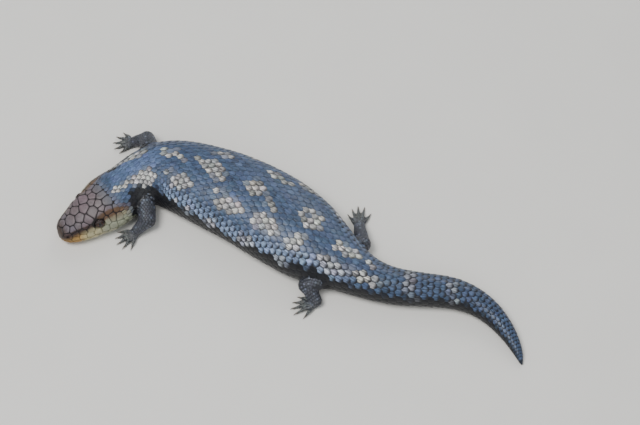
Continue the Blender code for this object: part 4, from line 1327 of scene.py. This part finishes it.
def shield_seeds():
    """Every head shield's place, normal, reach and chart, on both sides."""
    if shield_seeds.made:
        return shield_seeds.made
    places = []
    for s, r, reach in CROWN_SHIELDS:
        places.append((s, r, reach, "crown"))
    places.append((*NOSTRIL, "nostril"))
    for s, beside, reach in CHIN_SHIELDS:
        places.append((s, float(TRUNK.half_round(s)) - beside, reach, "chin"))
    for stations, above, kind in (
        (UPPER_LABIALS, UPPER_LABIAL_RISE, "upper_labial"),
        (LOWER_LABIALS, -LOWER_LABIAL_DROP, "lower_labial"),
    ):
        for s in stations:
            places.append((s, lip_distance(s, above), LABIAL_REACH, kind))
    for s, r, reach, kind in places:
        middle = r == 0 or abs(r - TRUNK.half_round(s)) < 0.01
        for sign in (1,) if middle else (1, -1):
            place, normal = TRUNK.skin_place(np.array([s]), np.array([sign * r]))
            shield_seeds.made.append(
                {"s": s, "r": sign * r, "place": place[0], "normal": normal[0], "reach": reach, "kind": kind}
            )
    return shield_seeds.made


shield_seeds.made = []


def cut_outline(outline, direction, limit):
    """The part of a flat outline that is no further than the limit in that direction."""
    kept = []
    for a, b in zip(outline, outline[1:] + outline[:1]):
        da, db = a @ direction - limit, b @ direction - limit
        if da <= 0:
            kept.append(a)
        if da * db < 0:
            kept.append(a + (b - a) * (da / (da - db)))
    return kept


def rounded_outline(outline, count):
    """The outline with its corners rounded, as that many points at even spacing."""
    points = np.array(outline)
    for _ in range(2):
        after = np.roll(points, -1, axis=0)
        points = np.stack([points * 0.86 + after * 0.14, points * 0.14 + after * 0.86], axis=1)
        points = points.reshape(-1, 2)
    closed = np.concatenate([points, points[:1]])
    distance = np.concatenate([[0], np.cumsum(np.linalg.norm(np.diff(closed, axis=0), axis=1))])
    at = np.linspace(0, distance[-1], count, endpoint=False)
    return np.stack([np.interp(at, distance, closed[:, k]) for k in range(2)], axis=1)


# Rings of a shield: share of the outline, height as a share of the rise, closeness to the rim
SHIELD_RINGS = (
    (0.35, 1.1, 0.0), (0.65, 1.06, 0.1), (0.83, 0.98, 0.3), (0.92, 0.82, 0.6), (0.975, 0.5, 0.9),
    (1.0, 0.05, 1.0), (1.0, -1.1, 1.0),
)
NOSTRIL_RINGS = ((0.12, -2.8, 1.0), (0.24, -2.4, 1.0), (0.3, 0.3, 0.9), (0.4, 1.35, 0.6)) + SHIELD_RINGS[2:]
# The nostril is round up to this share of its shield, and its rings reach out by their share of this
NOSTRIL_ROUND = 0.5
NOSTRIL_REACH = 3.0
SHIELD_SIDES = 26
# Shields that stand higher or lower than the rest
SHIELD_LIFTS = {"upper_labial": 1.1, "lower_labial": 0.85}


def head_surface():
    """The head's smooth surface under the shields, as a tree."""
    stations = np.concatenate([(0, 0.2, 0.5, 0.9, 1.4, 2.0, 2.8), np.arange(3.6, 64, 0.9)])
    share = np.linspace(-1, 1, 181)[:-1]
    s = np.broadcast_to(stations[:, None], (len(stations), len(share)))
    points, _ = TRUNK.skin_place(s, share[None, :] * TRUNK.half_round(stations)[:, None])
    points, faces = closed_tube(points)
    return BVHTree.FromPolygons([Vector(p) for p in points], faces)


def on_surface(tree, point, normal):
    """The head's point under this one along the shield's normal, and the normal there."""
    hit, found, _, _ = tree.ray_cast(Vector(point + normal * 6), Vector(-normal), 14)
    if hit is None:
        hit, found, _, _ = tree.find_nearest(Vector(point))
    found = np.array(found)
    if found @ normal < 0:
        found = -found
    return np.array(hit), unit(found + normal)


def skin_point(s, r):
    return TRUNK.skin_place(np.array([s]), np.array([r]))[0][0]


def lip_distance(s, above):
    """The distance round to that height above the mouth's line."""
    return float(TRUNK.round_at(s, TRUNK.turn_of_height(s, LIP_ABOVE_WIDEST + above)))


def guard_places():
    """Places beside the shields that no shield reaches past: eyes, nape and throat."""
    throat = [(s, THROAT_GUARD_RISE, SOFT_GUARD_REACH) for s in LOWER_LABIALS + THROAT_GUARDS_BEHIND]
    jaw = [(s, above, JAW_GUARD_REACH) for s, above in JAW_GUARDS]
    guards = []
    for sign in (1, -1):
        centre, forward, _, out = eye_frame(sign)
        guards += [(centre + out * EYE_GUARD_OUT + forward * ahead, EYE_GUARD_REACH) for ahead in EYE_GUARDS]
        for s, above, reach in throat + jaw:
            guards.append((skin_point(s, sign * lip_distance(s, above)), reach))
    for r in np.linspace(-25, 25, 11):
        guards.append((skin_point(NAPE_GUARDS_AT - 0.06 * abs(r), r), SOFT_GUARD_REACH))
    return guards


def shield_outline(seed, others, suture):
    """The seed's share of the head in the plane that touches it there."""
    normal = seed["normal"]
    side = unit(np.cross((0, 0, 1) if abs(normal[2]) < 0.9 else (1, 0, 0), normal))
    over = np.cross(normal, side)
    outline = [np.array(corner) * 8.0 for corner in ((-1, -1), (1, -1), (1, 1), (-1, 1))]
    for place, reach in others:
        apart = place - seed["place"]
        length = np.linalg.norm(apart)
        flat = np.array((apart @ side, apart @ over))
        if np.linalg.norm(flat) < 1 or length > 24:
            continue
        limit = length / 2 + (seed["reach"] ** 2 - reach**2) / (2 * length) - suture / 2
        outline = cut_outline(outline, unit(flat), limit)
    if seed["kind"] in ("upper_labial", "lower_labial") and len(outline) > 2:
        down = unit(np.array((-side[2], -over[2])))
        if seed["kind"] == "upper_labial":
            outline = cut_outline(outline, down, UPPER_LABIAL_RISE - LIP_GAP)
        else:
            outline = cut_outline(outline, -down, LOWER_LABIAL_DROP - LIP_GAP)
    return outline, side, over


def build_shields():
    """The large plates of crown, cheeks, lips and chin, each a closed domed body."""
    tree = head_surface()
    seeds = shield_seeds()
    guards = guard_places()
    rise = bpy.context.scene.skink_sizes.shield_rise / MM
    draw = np.random.default_rng(5)
    parts, rims, lights, edges, patches = [], [], [], [], []
    for k, seed in enumerate(seeds):
        others = [(s["place"], s["reach"]) for s in seeds[:k] + seeds[k + 1 :]] + guards
        soft = seed["kind"] in ("upper_labial", "lower_labial", "chin")
        outline, side, over = shield_outline(seed, others, LIP_SUTURE if soft else SUTURE)
        if len(outline) < 3:
            continue
        outline = rounded_outline(outline, SHIELD_SIDES)
        pierced = seed["kind"] == "nostril"
        middle = np.zeros(2) if pierced else outline.mean(axis=0)
        rings = NOSTRIL_RINGS if pierced else SHIELD_RINGS
        lift = rise * SHIELD_LIFTS.get(seed["kind"], 1.0)
        points = []
        for share, height, _ in rings:
            ring = middle + (outline - middle) * share
            if share < NOSTRIL_ROUND and pierced:
                ring = middle + unit(outline - middle) * share * NOSTRIL_REACH
            for flat in ring:
                above = seed["place"] + side * flat[0] + over * flat[1]
                spot, normal = on_surface(tree, above, seed["normal"])
                points.append(spot + normal * height * lift)
        above = seed["place"] + side * middle[0] + over * middle[1]
        spot, normal = on_surface(tree, above, seed["normal"])
        top = spot + normal * (rings[0][1] + 0.03) * lift
        root = spot - normal * 1.1 * lift
        points = np.array(points + [top, root])
        points[:, 2] = np.maximum(points[:, 2], 0.02)
        parts.append((points, capped_faces(len(rings), SHIELD_SIDES)))
        its_rims = np.repeat([rim for *_, rim in rings], SHIELD_SIDES)
        rims.append(np.concatenate([its_rims, [rings[0][2], 1.0]]))
        light = scale_tints(np.ones((1, 3)) * 0.8, draw, 0.07) / 0.8
        lights.append(np.tile(light, (len(points), 1)))
        edges.append(np.full(len(points), 0.22 if soft else 0.6))
        patches.append(shield_patch(seed, outline, middle, rings))
    points, faces = join_parts(parts)
    mesh = new_mesh("head_shields", points, faces)
    faces_out(mesh)
    write_attribute(mesh, "rim", "FLOAT", np.concatenate(rims))
    tree, s, r = chart_tree()
    nearest = np.array([tree.find(Vector(p))[1] for p in points])
    tint = np.clip(head_tint(s[nearest], r[nearest]) * np.concatenate(lights), 0, 1)
    write_attribute(mesh, "tint", "FLOAT_COLOR", tint)
    write_attribute(mesh, "edge", "FLOAT", np.concatenate(edges))
    mapped = mesh.uv_layers.new(name="OFBake")
    corner = np.empty(len(mesh.loops), int)
    mesh.loops.foreach_get("vertex_index", corner)
    mapped.data.foreach_set("uv", np.concatenate(patches)[corner].ravel().astype(np.float32))
    mesh.shade_smooth()
    return new_object("head_shields", mesh)


def shield_patch(seed, outline, middle, rings):
    """The shield's patch at its own place on the unwrapped head, with each ring further out."""
    centre = np.array((0.03 + 0.9 * seed["s"] / 60, 0.5 + 0.45 * seed["r"] / 62))
    reach = np.linalg.norm(outline - middle, axis=1).min() / 62 * 0.4
    angle = np.linspace(0, 2 * math.pi, len(outline), endpoint=False)
    circle = np.stack([np.cos(angle), np.sin(angle)], axis=1)
    spots = [centre + circle * reach * (number + 1) / len(rings) for number in range(len(rings))]
    return np.concatenate(spots + [centre[None], centre[None] + (0, reach * 1.02)])


# Eyes and lids


def almond(angle, long, tall):
    """A lid's outline, pointed a little at both corners."""
    x = np.cos(angle)
    y = np.sign(np.sin(angle)) * np.abs(np.sin(angle)) ** 1.25
    return x * long, y * tall


def build_eye(sign):
    """The eyeball, with each point marked by how far it is from the pupil's middle."""
    centre, forward, up, out = eye_frame(sign)
    angles = np.linspace(0.03, math.pi - 0.03, 40)
    around = np.linspace(0, 2 * math.pi, 48, endpoint=False)
    radius = EYE_RADIUS * (1 + 0.035 * np.exp(-((angles / 0.7) ** 2)))
    rings = []
    for angle, reach in zip(angles, radius):
        circle = forward * np.cos(around)[:, None] + up * np.sin(around)[:, None]
        rings.append(centre + reach * (out * math.cos(angle) + circle * math.sin(angle)))
    points, faces = closed_tube(rings)
    name = "eyeball_left" if sign > 0 else "eyeball_right"
    mesh = new_mesh(name, points, faces)
    faces_out(mesh)
    apart = unit(points - centre)
    write_attribute(mesh, "gaze", "FLOAT", np.arccos(np.clip(apart @ out, -1, 1)))
    streak = np.arctan2(apart @ up, apart @ forward)
    streak = np.stack([np.cos(streak), np.sin(streak), apart @ out], axis=1)
    write_attribute(mesh, "streak", "FLOAT_VECTOR", streak)
    mesh.shade_smooth()
    return new_object(name, mesh)


# Cross-section of a lid: share of the opening, distance from the eyeball's middle, and closeness to the rim
LID_RINGS = (
    (0.94, 3.0, 1.0), (0.99, 3.22, 1.0), (1.08, 3.5, 0.8), (1.24, 3.68, 0.4), (1.5, 3.78, 0.1),
    (1.8, 3.72, 0.0), (2.1, 3.4, 0.0), (2.35, 2.6, 0.0), (2.2, 1.9, 0.0), (1.5, 2.2, 1.0), (1.0, 2.8, 1.0),
)


def lid_point(frame_there, angle, share, distance):
    centre, forward, up, out = frame_there
    x, y = almond(angle, EYE_OPENING[0], EYE_OPENING[1])
    # Away from the opening the almond turns to the socket's oval
    oval = step_between(1.1, 2.2, share)
    x = x * share * (1 - 0.22 * oval)
    y = y * share * (1 + 0.08 * oval)
    y += 0.25 * oval * np.sin(angle)
    depth = np.sqrt(np.maximum(distance**2 - x**2 - y**2, 0.0))
    flat = np.where(distance**2 > x**2 + y**2, depth, distance - np.hypot(x, y))
    return centre + forward * x[:, None] + up * y[:, None] + out * flat[:, None]


def build_lids(sign):
    """Both lids of one eye as a closed ring of skin round the opening."""
    there = eye_frame(sign)
    angle = np.linspace(0, 2 * math.pi, 56, endpoint=False)
    rings = [lid_point(there, angle, share, distance) for share, distance, _ in LID_RINGS]
    faces = grid_faces(len(rings), len(angle), looped=True)
    return (np.concatenate(rings), faces), np.repeat([rim for *_, rim in LID_RINGS], len(angle))


# Rows of lid scales: share of the opening, distance from the eyeball's middle, count and width
LID_ROWS = (
    (1.14, 3.6, 28, 0.66), (1.4, 3.74, 26, 0.9), (1.7, 3.76, 24, 1.15), (2.0, 3.56, 22, 1.35),
    (2.26, 3.1, 22, 1.45),
)


def lid_seeds():
    """Small scales along both lids of both eyes."""
    grown = {key: [] for key in ("place", "out", "along", "size", "tint", "edge", "chart")}
    colours = bpy.context.scene.skink_colours
    draw = np.random.default_rng(3)
    for side, sign in enumerate((1, -1)):
        there = eye_frame(sign)
        centre = there[0]
        for row, (share, distance, count, width) in enumerate(LID_ROWS):
            angle = (np.arange(count) + 0.5 * (row % 2)) / count * 2 * math.pi
            place = lid_point(there, angle, np.float64(share), distance)
            inner = lid_point(there, angle, np.float64(share - 0.12), distance)
            out = unit(place - centre)
            along = unit(place - inner)
            grown["place"].append(place - along * 0.4 * width)
            grown["out"].append(out)
            grown["along"].append(along)
            grown["size"].append(np.tile((width * 0.92, width, 0.24), (count, 1)))
            brown = blend(plain(colours.cheek_and_shade, angle), colours.crown, np.full(count, 0.16 * row))
            tint = blend(brown, colours.temple, 0.8 * step_between(-0.1, -0.8, np.sin(angle)) * (row > 0))
            grown["tint"].append(scale_tints(tint, draw, 0.1))
            grown["edge"].append(np.full((count, 2), (0.6, 0.2)))
            u = 0.02 + 0.5 * side + 0.46 * angle / 2 / math.pi
            grown["chart"].append(np.stack([u, np.full(count, 0.1 + 0.2 * row)], axis=1))
    return {key: np.concatenate(parts) for key, parts in grown.items()}


# Claws


def claw_part(tip, ahead):
    """One claw from inside the toe's tip, arched over and down to its point on the floor."""
    t = np.linspace(0, 1, 9)
    reach = -0.9 + t * (CLAW_LENGTH + 0.9)
    height = tip[2] + 0.45 + 0.35 * np.sin(t * math.pi * 0.8) - (tip[2] + 0.2) * t**1.8
    path = np.stack([tip[0] + ahead[0] * reach, tip[1] + ahead[1] * reach, height], axis=1)
    taper = (1 - t**1.6) ** 0.8 * 0.98 + 0.02
    return closed_tube(swept_rings(path, 0.52 * taper, 0.78 * taper, 12))


def build_claws():
    parts = []
    for limb in LIMBS.values():
        for toe, ahead in toe_paths(limb):
            parts.append(claw_part(toe[-1], ahead))
    mesh = new_mesh("claws", *join_parts(parts))
    points = read_points(mesh)
    points[:, 2] = np.maximum(points[:, 2], 0.02)
    mesh.vertices.foreach_set("co", (points * MM).ravel())
    faces_out(mesh)
    mesh.shade_smooth()
    return new_object("claws", mesh)


# Materials


def shader_group(name, inputs, outputs):
    """An empty node group with those sockets, each given as name, kind and default."""
    group = bpy.data.node_groups.new(name, "ShaderNodeTree")
    for label, kind, default in inputs:
        group.interface.new_socket(label, in_out="INPUT", socket_type=kind).default_value = default
    for label, kind in outputs:
        group.interface.new_socket(label, in_out="OUTPUT", socket_type=kind)
    return group, group.nodes.new("NodeGroupInput"), group.nodes.new("NodeGroupOutput")


def mixed(tree, share, first, second):
    """The first colour with that share of the second."""
    node = add_node(tree, "ShaderNodeMix", data_type="RGBA")
    for number, value in ((0, share), (6, first), (7, second)):
        join_socket(tree, value, node.inputs[number])
    return node.outputs[2]


HORN_EDGE = tone(24, 24, 28)


def scale_horn_group():
    """Horn of a scale or shield: mottled, darker at its rim, with a fine grain."""
    found = bpy.data.node_groups.get("scale_horn")
    if found:
        return found
    group, given, made = shader_group(
        "scale_horn",
        (
            ("Tint", "NodeSocketColor", (0.5, 0.5, 0.5, 1)), ("Rim", "NodeSocketFloat", 0.0),
            ("Edge", "NodeSocketFloat", 0.5), ("End", "NodeSocketFloat", 0.0),
            ("Spot", "NodeSocketVector", (0, 0, 0)),
            ("Number", "NodeSocketFloat", 0.0), ("Streak", "NodeSocketFloat", 0.3),
            ("Mottle size", "NodeSocketFloat", 900.0), ("Mottle", "NodeSocketFloat", 0.3),
            ("Grain size", "NodeSocketFloat", 4200.0), ("Roughness", "NodeSocketFloat", 0.42),
        ),
        (("Color", "NodeSocketColor"), ("Roughness", "NodeSocketFloat"), ("Height", "NodeSocketFloat")),
    )
    take = given.outputs
    place = add_node(group, "ShaderNodeTexCoord").outputs["Object"]
    mottle = noise_of(group, place, take["Mottle size"], 3.0, 0.6)
    grain = noise_of(group, place, take["Grain size"], 2.0)
    spread = ranged(group, mottle, 0.3, 0.7, (-1.0, 1.0))
    # Streaks run along the scale, and start afresh on each
    apart = vector_math(group, "MULTIPLY", take["Spot"], (6.5, 1.1, 0))
    own = add_node(group, "ShaderNodeCombineXYZ", {axis: take["Number"] for axis in "XYZ"}).outputs["Vector"]
    streaks = noise_of(group, vector_math(group, "ADD", apart, own), 1.0, 2.0, 0.6)
    streaks = ranged(group, streaks, 0.36, 0.64, (-1.0, 1.0))
    light = calculated(group, "MULTIPLY_ADD", spread, take["Mottle"], 1.0)
    streaked = calculated(group, "MULTIPLY", take["Edge"], take["Streak"])
    streaked = calculated(group, "MULTIPLY_ADD", take["Streak"], 0.6, streaked)
    light = calculated(group, "MULTIPLY_ADD", streaks, streaked, light)
    tinted = scaled(group, take["Tint"], light)
    start = calculated(group, "MULTIPLY_ADD", take["Edge"], -0.42, 0.46)
    edge = ranged(group, take["Rim"], start, 1.0, kind="SMOOTHSTEP")
    worn = calculated(group, "MULTIPLY", edge, take["Edge"])
    # The hindmost part of a scale is dark too where its edge is
    back = add_node(group, "ShaderNodeSeparateXYZ", {"Vector": take["Spot"]}).outputs["Y"]
    back = ranged(group, back, 0.66, 0.92, (0.0, 0.96), "SMOOTHSTEP")
    back = calculated(group, "MULTIPLY", back, take["End"])
    worn = calculated(group, "MAXIMUM", worn, back)
    results = {
        "Color": mixed(group, worn, tinted, (*HORN_EDGE, 1)),
        "Roughness": calculated(group, "MULTIPLY_ADD", spread, 0.08, take["Roughness"]),
        "Height": calculated(group, "MULTIPLY_ADD", grain, 0.6, mottle),
    }
    for label, result in results.items():
        group.links.new(result, made.inputs[label])
    return group


def plain_material(name):
    made = bpy.data.materials.new(name)
    made.use_nodes = True
    return made, made.node_tree, made.node_tree.nodes["Principled BSDF"]


# Horn of each kind: bump, streaks, how fine its mottling is and how strong, and roughness
HORN_FINISHES = {
    "skin_finish": (0.6, 0.0, 700.0, 0.25, 0.6),
    "scale_finish": (0.35, 0.46, 420.0, 0.24, 0.38),
    "limb_scale_finish": (0.35, 0.2, 900.0, 0.25, 0.46),
    "shield_finish": (0.5, 0.0, 520.0, 0.2, 0.46),
}
BUMP_DEPTH = 0.0001


def horn_material(name):
    """A material of scale horn, with its tint and rim from the piece's own attributes."""
    bump, *values = HORN_FINISHES[name]
    made, tree, shader = plain_material(name)
    group = tree.nodes.new("ShaderNodeGroup")
    group.node_tree = scale_horn_group()
    for label, output in (
        ("Tint", "Color"), ("Rim", "Fac"), ("Edge", "Fac"), ("End", "Fac"), ("Spot", "Vector"),
        ("Number", "Fac"),
    ):
        node = add_node(tree, "ShaderNodeAttribute", attribute_name=label.lower())
        tree.links.new(node.outputs[output], group.inputs[label])
    for label, value in zip(("Streak", "Mottle size", "Mottle", "Roughness"), values):
        group.inputs[label].default_value = value
    roughen(tree, shader, group.outputs["Height"], bump)
    tree.links.new(group.outputs["Color"], shader.inputs["Base Color"])
    tree.links.new(group.outputs["Roughness"], shader.inputs["Roughness"])
    shader.inputs["Specular IOR Level"].default_value = 0.4
    return made


def roughen(tree, shader, height, strength):
    """Gives the surface small bumps."""
    bump = add_node(tree, "ShaderNodeBump", {"Height": height, "Strength": strength, "Distance": BUMP_DEPTH})
    tree.links.new(bump.outputs["Normal"], shader.inputs["Normal"])


def shade(colour, factor):
    """The colour lighter or darker by that factor, with full alpha."""
    return (*(min(c * factor, 1) for c in colour), 1)


def finish_named(name):
    """The material of that name, made the first time it is asked for."""
    found = bpy.data.materials.get(name)
    return found if found else FINISHES.get(name, horn_material)(name)


def eye_finish(name):
    """A dark pupil in a streaked iris, under a wet surface."""
    colours = bpy.context.scene.skink_colours
    made, tree, shader = plain_material(name)
    gaze = add_node(tree, "ShaderNodeAttribute", attribute_name="gaze").outputs["Fac"]
    streak = add_node(tree, "ShaderNodeAttribute", attribute_name="streak").outputs["Vector"]
    fibres = noise_of(tree, streak, 9.0, 4.0)
    iris = mixed(tree, fibres, shade(colours.iris, 0.45), shade(colours.iris, 1.7))
    pupil = ranged(tree, gaze, 0.36, 0.42, kind="SMOOTHSTEP")
    white = ranged(tree, gaze, 0.66, 0.8, kind="SMOOTHSTEP")
    seen = mixed(tree, pupil, (0.004, 0.003, 0.003, 1), iris)
    seen = mixed(tree, white, seen, (0.02, 0.013, 0.01, 1))
    tree.links.new(seen, shader.inputs["Base Color"])
    shader.inputs["Roughness"].default_value = 0.12
    shader.inputs["Specular IOR Level"].default_value = 0.3
    shader.inputs["Coat Weight"].default_value = 0.35
    shader.inputs["Coat Roughness"].default_value = 0.03
    return made


def claw_finish(name):
    """Horn with fine uneven streaks."""
    colours = bpy.context.scene.skink_colours
    made, tree, shader = plain_material(name)
    place = add_node(tree, "ShaderNodeTexCoord").outputs["Object"]
    streaks = noise_of(tree, place, 1500.0, 3.0)
    seen = mixed(tree, streaks, shade(colours.claw, 0.5), shade(colours.claw, 1.5))
    tree.links.new(seen, shader.inputs["Base Color"])
    roughen(tree, shader, streaks, 0.3)
    shader.inputs["Roughness"].default_value = 0.35
    return made


def floor_finish(name):
    """Matt paint with a faint unevenness."""
    colours = bpy.context.scene.skink_colours
    made, tree, shader = plain_material(name)
    place = add_node(tree, "ShaderNodeTexCoord").outputs["Object"]
    uneven = noise_of(tree, place, 14.0, 4.0)
    seen = mixed(tree, uneven, shade(colours.floor, 0.94), shade(colours.floor, 1))
    tree.links.new(seen, shader.inputs["Base Color"])
    shader.inputs["Roughness"].default_value = 0.85
    return made


FINISHES = {
    "eye_finish": eye_finish,
    "claw_finish": claw_finish,
    "floor_finish": floor_finish,
}


def drop(obj):
    """Removes an object that only helped to make another."""
    bpy.data.objects.remove(obj)


def skin_object():
    found = bpy.data.objects.get("skin")
    if found is None:
        raise RuntimeError("the skin comes before what grows on it")
    return found


class SKINK_OT_skin(bpy.types.Operator):
    """Make the one skin of trunk, legs and feet"""

    bl_idname = "skink.skin"
    bl_label = "Skin"

    def execute(self, context):
        skin = build_skin()
        skin.data.materials.append(finish_named("skin_finish"))
        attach(skin, "root")
        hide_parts(*FLESH)
        return {"FINISHED"}


class SKINK_OT_trunk_scales(bpy.types.Operator):
    """Lay overlapping scales on neck, torso and tail"""

    bl_idname = "skink.trunk_scales"
    bl_label = "Trunk scales"

    def execute(self, context):
        skin = skin_object()
        seeds = trunk_seeds(tree_of(skin))
        shape = trunk_scale_shape()
        widest = float(TRUNK.halves.max())
        for name, (start, end) in COAT_LENGTHS.items():
            here = seeds["kept"] & (seeds["s"] >= start) & (seeds["s"] < end)
            part = {key: values[here] for key, values in seeds.items()}
            along = (part["s"] - start) / (end - start)
            part["chart"] = np.stack([0.02 + 0.95 * along, 0.5 + 0.48 * part["r"] / widest], axis=1)
            piece = coat_piece(name, part, shape, skin, finish_named("scale_finish"))
        drop(shape)
        return {"FINISHED"}


class SKINK_OT_limb_scales(bpy.types.Operator):
    """Lay small scales on legs, feet and toes"""

    bl_idname = "skink.limb_scales"
    bl_label = "Limb scales"

    def execute(self, context):
        skin = skin_object()
        tree = tree_of(skin)
        seeds = trunk_seeds(tree)
        taken = seeds["own"][seeds["kept"]]
        shape = small_scale_shape()
        for name, limbs in (("scales_front_legs", ("front_left", "front_right")),
                            ("scales_hind_legs", ("hind_left", "hind_right"))):
            part = limb_seeds(limbs, tree, taken)
            piece = coat_piece(name, part, shape, skin, finish_named("limb_scale_finish"))
        drop(shape)
        return {"FINISHED"}


class SKINK_OT_shields(bpy.types.Operator):
    """Make the shields of crown, cheeks, lips and chin"""

    bl_idname = "skink.shields"
    bl_label = "Head shields"

    def execute(self, context):
        piece = build_shields()
        piece.data.materials.append(finish_named("shield_finish"))
        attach(piece, "root")
        return {"FINISHED"}


class SKINK_OT_eyes(bpy.types.Operator):
    """Make the eyeballs, and lids with their own small scales"""

    bl_idname = "skink.eyes"
    bl_label = "Eyes and lids"

    def execute(self, context):
        parts, rims = [], []
        for sign, node in ((1, "eye_left"), (-1, "eye_right")):
            eye = build_eye(sign)
            eye.data.materials.append(finish_named("eye_finish"))
            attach(eye, "root")
            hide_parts(node)
            part, rim = build_lids(sign)
            parts.append(part)
            rims.append(rim)
        mesh = new_mesh("lids", *join_parts(parts))
        faces_out(mesh)
        cheek_and_shade = np.array(context.scene.skink_colours.cheek_and_shade)
        write_attribute(mesh, "rim", "FLOAT", np.concatenate(rims))
        write_attribute(mesh, "tint", "FLOAT_COLOR", np.tile(cheek_and_shade * 0.35, (len(mesh.vertices), 1)))
        write_attribute(mesh, "edge", "FLOAT", np.full(len(mesh.vertices), 0.7))
        mesh.shade_smooth()
        normals = np.empty(len(mesh.vertices) * 3)
        mesh.vertex_normals.foreach_get("vector", normals)
        write_attribute(mesh, "lie", "FLOAT_VECTOR", normals)
        lids = new_object("lids", mesh)
        lids.data.materials.append(finish_named("shield_finish"))
        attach(lids, "root")
        shape = small_scale_shape()
        piece = coat_piece("lid_scales", lid_seeds(), shape, lids, finish_named("shield_finish"))
        drop(shape)
        return {"FINISHED"}


class SKINK_OT_claws(bpy.types.Operator):
    """Make the twenty claws"""

    bl_idname = "skink.claws"
    bl_label = "Claws"

    def execute(self, context):
        piece = build_claws()
        piece.data.materials.append(finish_named("claw_finish"))
        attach(piece, "root")
        return {"FINISHED"}


# The camera's place, and the point on the floor that it looks at, in metres
LOOK_AT = (0.0255, 0.0272, 0.0)
CAMERA_DISTANCE = 1.149
CAMERA_ELEVATION = 60
CAMERA_LENS = 85
FLOOR_REACH = 4
FLOOR_LEVEL = -0.0001
SKY_COLOUR = (0.86, 0.92, 1.0, 1)
SKY_STRENGTH = 0.48
# Soft lights: place, size and power
LIGHTS = {
    "key": ((-0.55, -0.25, 1.5), 0.8, 20.0),
    "fill": ((0.6, -1.0, 0.8), 1.2, 4.0),
    "rim": ((0.5, 1.2, 0.9), 0.8, 6.0),
}


class SKINK_OT_stage(bpy.types.Operator):
    """Set the floor, the lights and the camera"""

    bl_idname = "skink.stage"
    bl_label = "Stage"

    def execute(self, context):
        mesh = bpy.data.meshes.new("floor")
        signs = ((-1, -1), (1, -1), (1, 1), (-1, 1))
        corners = [(x * FLOOR_REACH, y * FLOOR_REACH, FLOOR_LEVEL) for x, y in signs]
        mesh.from_pydata(corners, [], [(0, 1, 2, 3)])
        floor = new_object("floor", mesh)
        floor.data.materials.append(finish_named("floor_finish"))
        target = Vector(LOOK_AT)
        for name, (place, size, power) in LIGHTS.items():
            light = bpy.data.lights.new(name, "AREA")
            light.shape = "DISK"
            light.size = size
            light.energy = power
            lamp = bpy.data.objects.new(name, light)
            lamp.location = place
            lamp.rotation_euler = (target - lamp.location).to_track_quat("-Z", "Y").to_euler()
            context.scene.collection.objects.link(lamp)
        world = bpy.data.worlds.new("studio")
        world.use_nodes = True
        back = world.node_tree.nodes["Background"]
        back.inputs["Color"].default_value = SKY_COLOUR
        back.inputs["Strength"].default_value = SKY_STRENGTH
        context.scene.world = world
        rise = math.radians(CAMERA_ELEVATION)
        lens = bpy.data.cameras.new("camera")
        lens.lens = CAMERA_LENS
        camera = bpy.data.objects.new("camera", lens)
        camera.location = target + Vector((0, -math.cos(rise), math.sin(rise))) * CAMERA_DISTANCE
        camera.rotation_euler = (target - camera.location).to_track_quat("-Z", "Y").to_euler()
        context.scene.collection.objects.link(camera)
        context.scene.camera = camera
        return {"FINISHED"}


class SKINK_PT_panel(bpy.types.Panel):
    """Lists the pieces of the skink in the order they are made"""

    bl_idname = "SKINK_PT_panel"
    bl_label = "Skink"
    bl_space_type = "VIEW_3D"
    bl_region_type = "UI"
    bl_category = "Skink"

    def draw(self, context):
        for group in (context.scene.skink_sizes, context.scene.skink_colours):
            column = self.layout.column(align=True)
            for name in group.__annotations__:
                column.prop(group, name)
        for operator in OPERATORS:
            self.layout.operator(operator.bl_idname)


OPERATORS = (
    SKINK_OT_skin,
    SKINK_OT_trunk_scales,
    SKINK_OT_limb_scales,
    SKINK_OT_shields,
    SKINK_OT_eyes,
    SKINK_OT_claws,
    SKINK_OT_stage,
)
CLASSES = (SkinkSizes, SkinkColours, *OPERATORS, SKINK_PT_panel)


def register():
    for made in CLASSES:
        bpy.utils.register_class(made)
    bpy.types.Scene.skink_sizes = bpy.props.PointerProperty(type=SkinkSizes)
    bpy.types.Scene.skink_colours = bpy.props.PointerProperty(type=SkinkColours)


def unregister():
    del bpy.types.Scene.skink_sizes
    del bpy.types.Scene.skink_colours
    for made in reversed(CLASSES):
        bpy.utils.unregister_class(made)


def main():
    register()
    for operator in OPERATORS:
        group, name = operator.bl_idname.split(".")
        getattr(getattr(bpy.ops, group), name)()


if __name__ == "__main__":
    main()
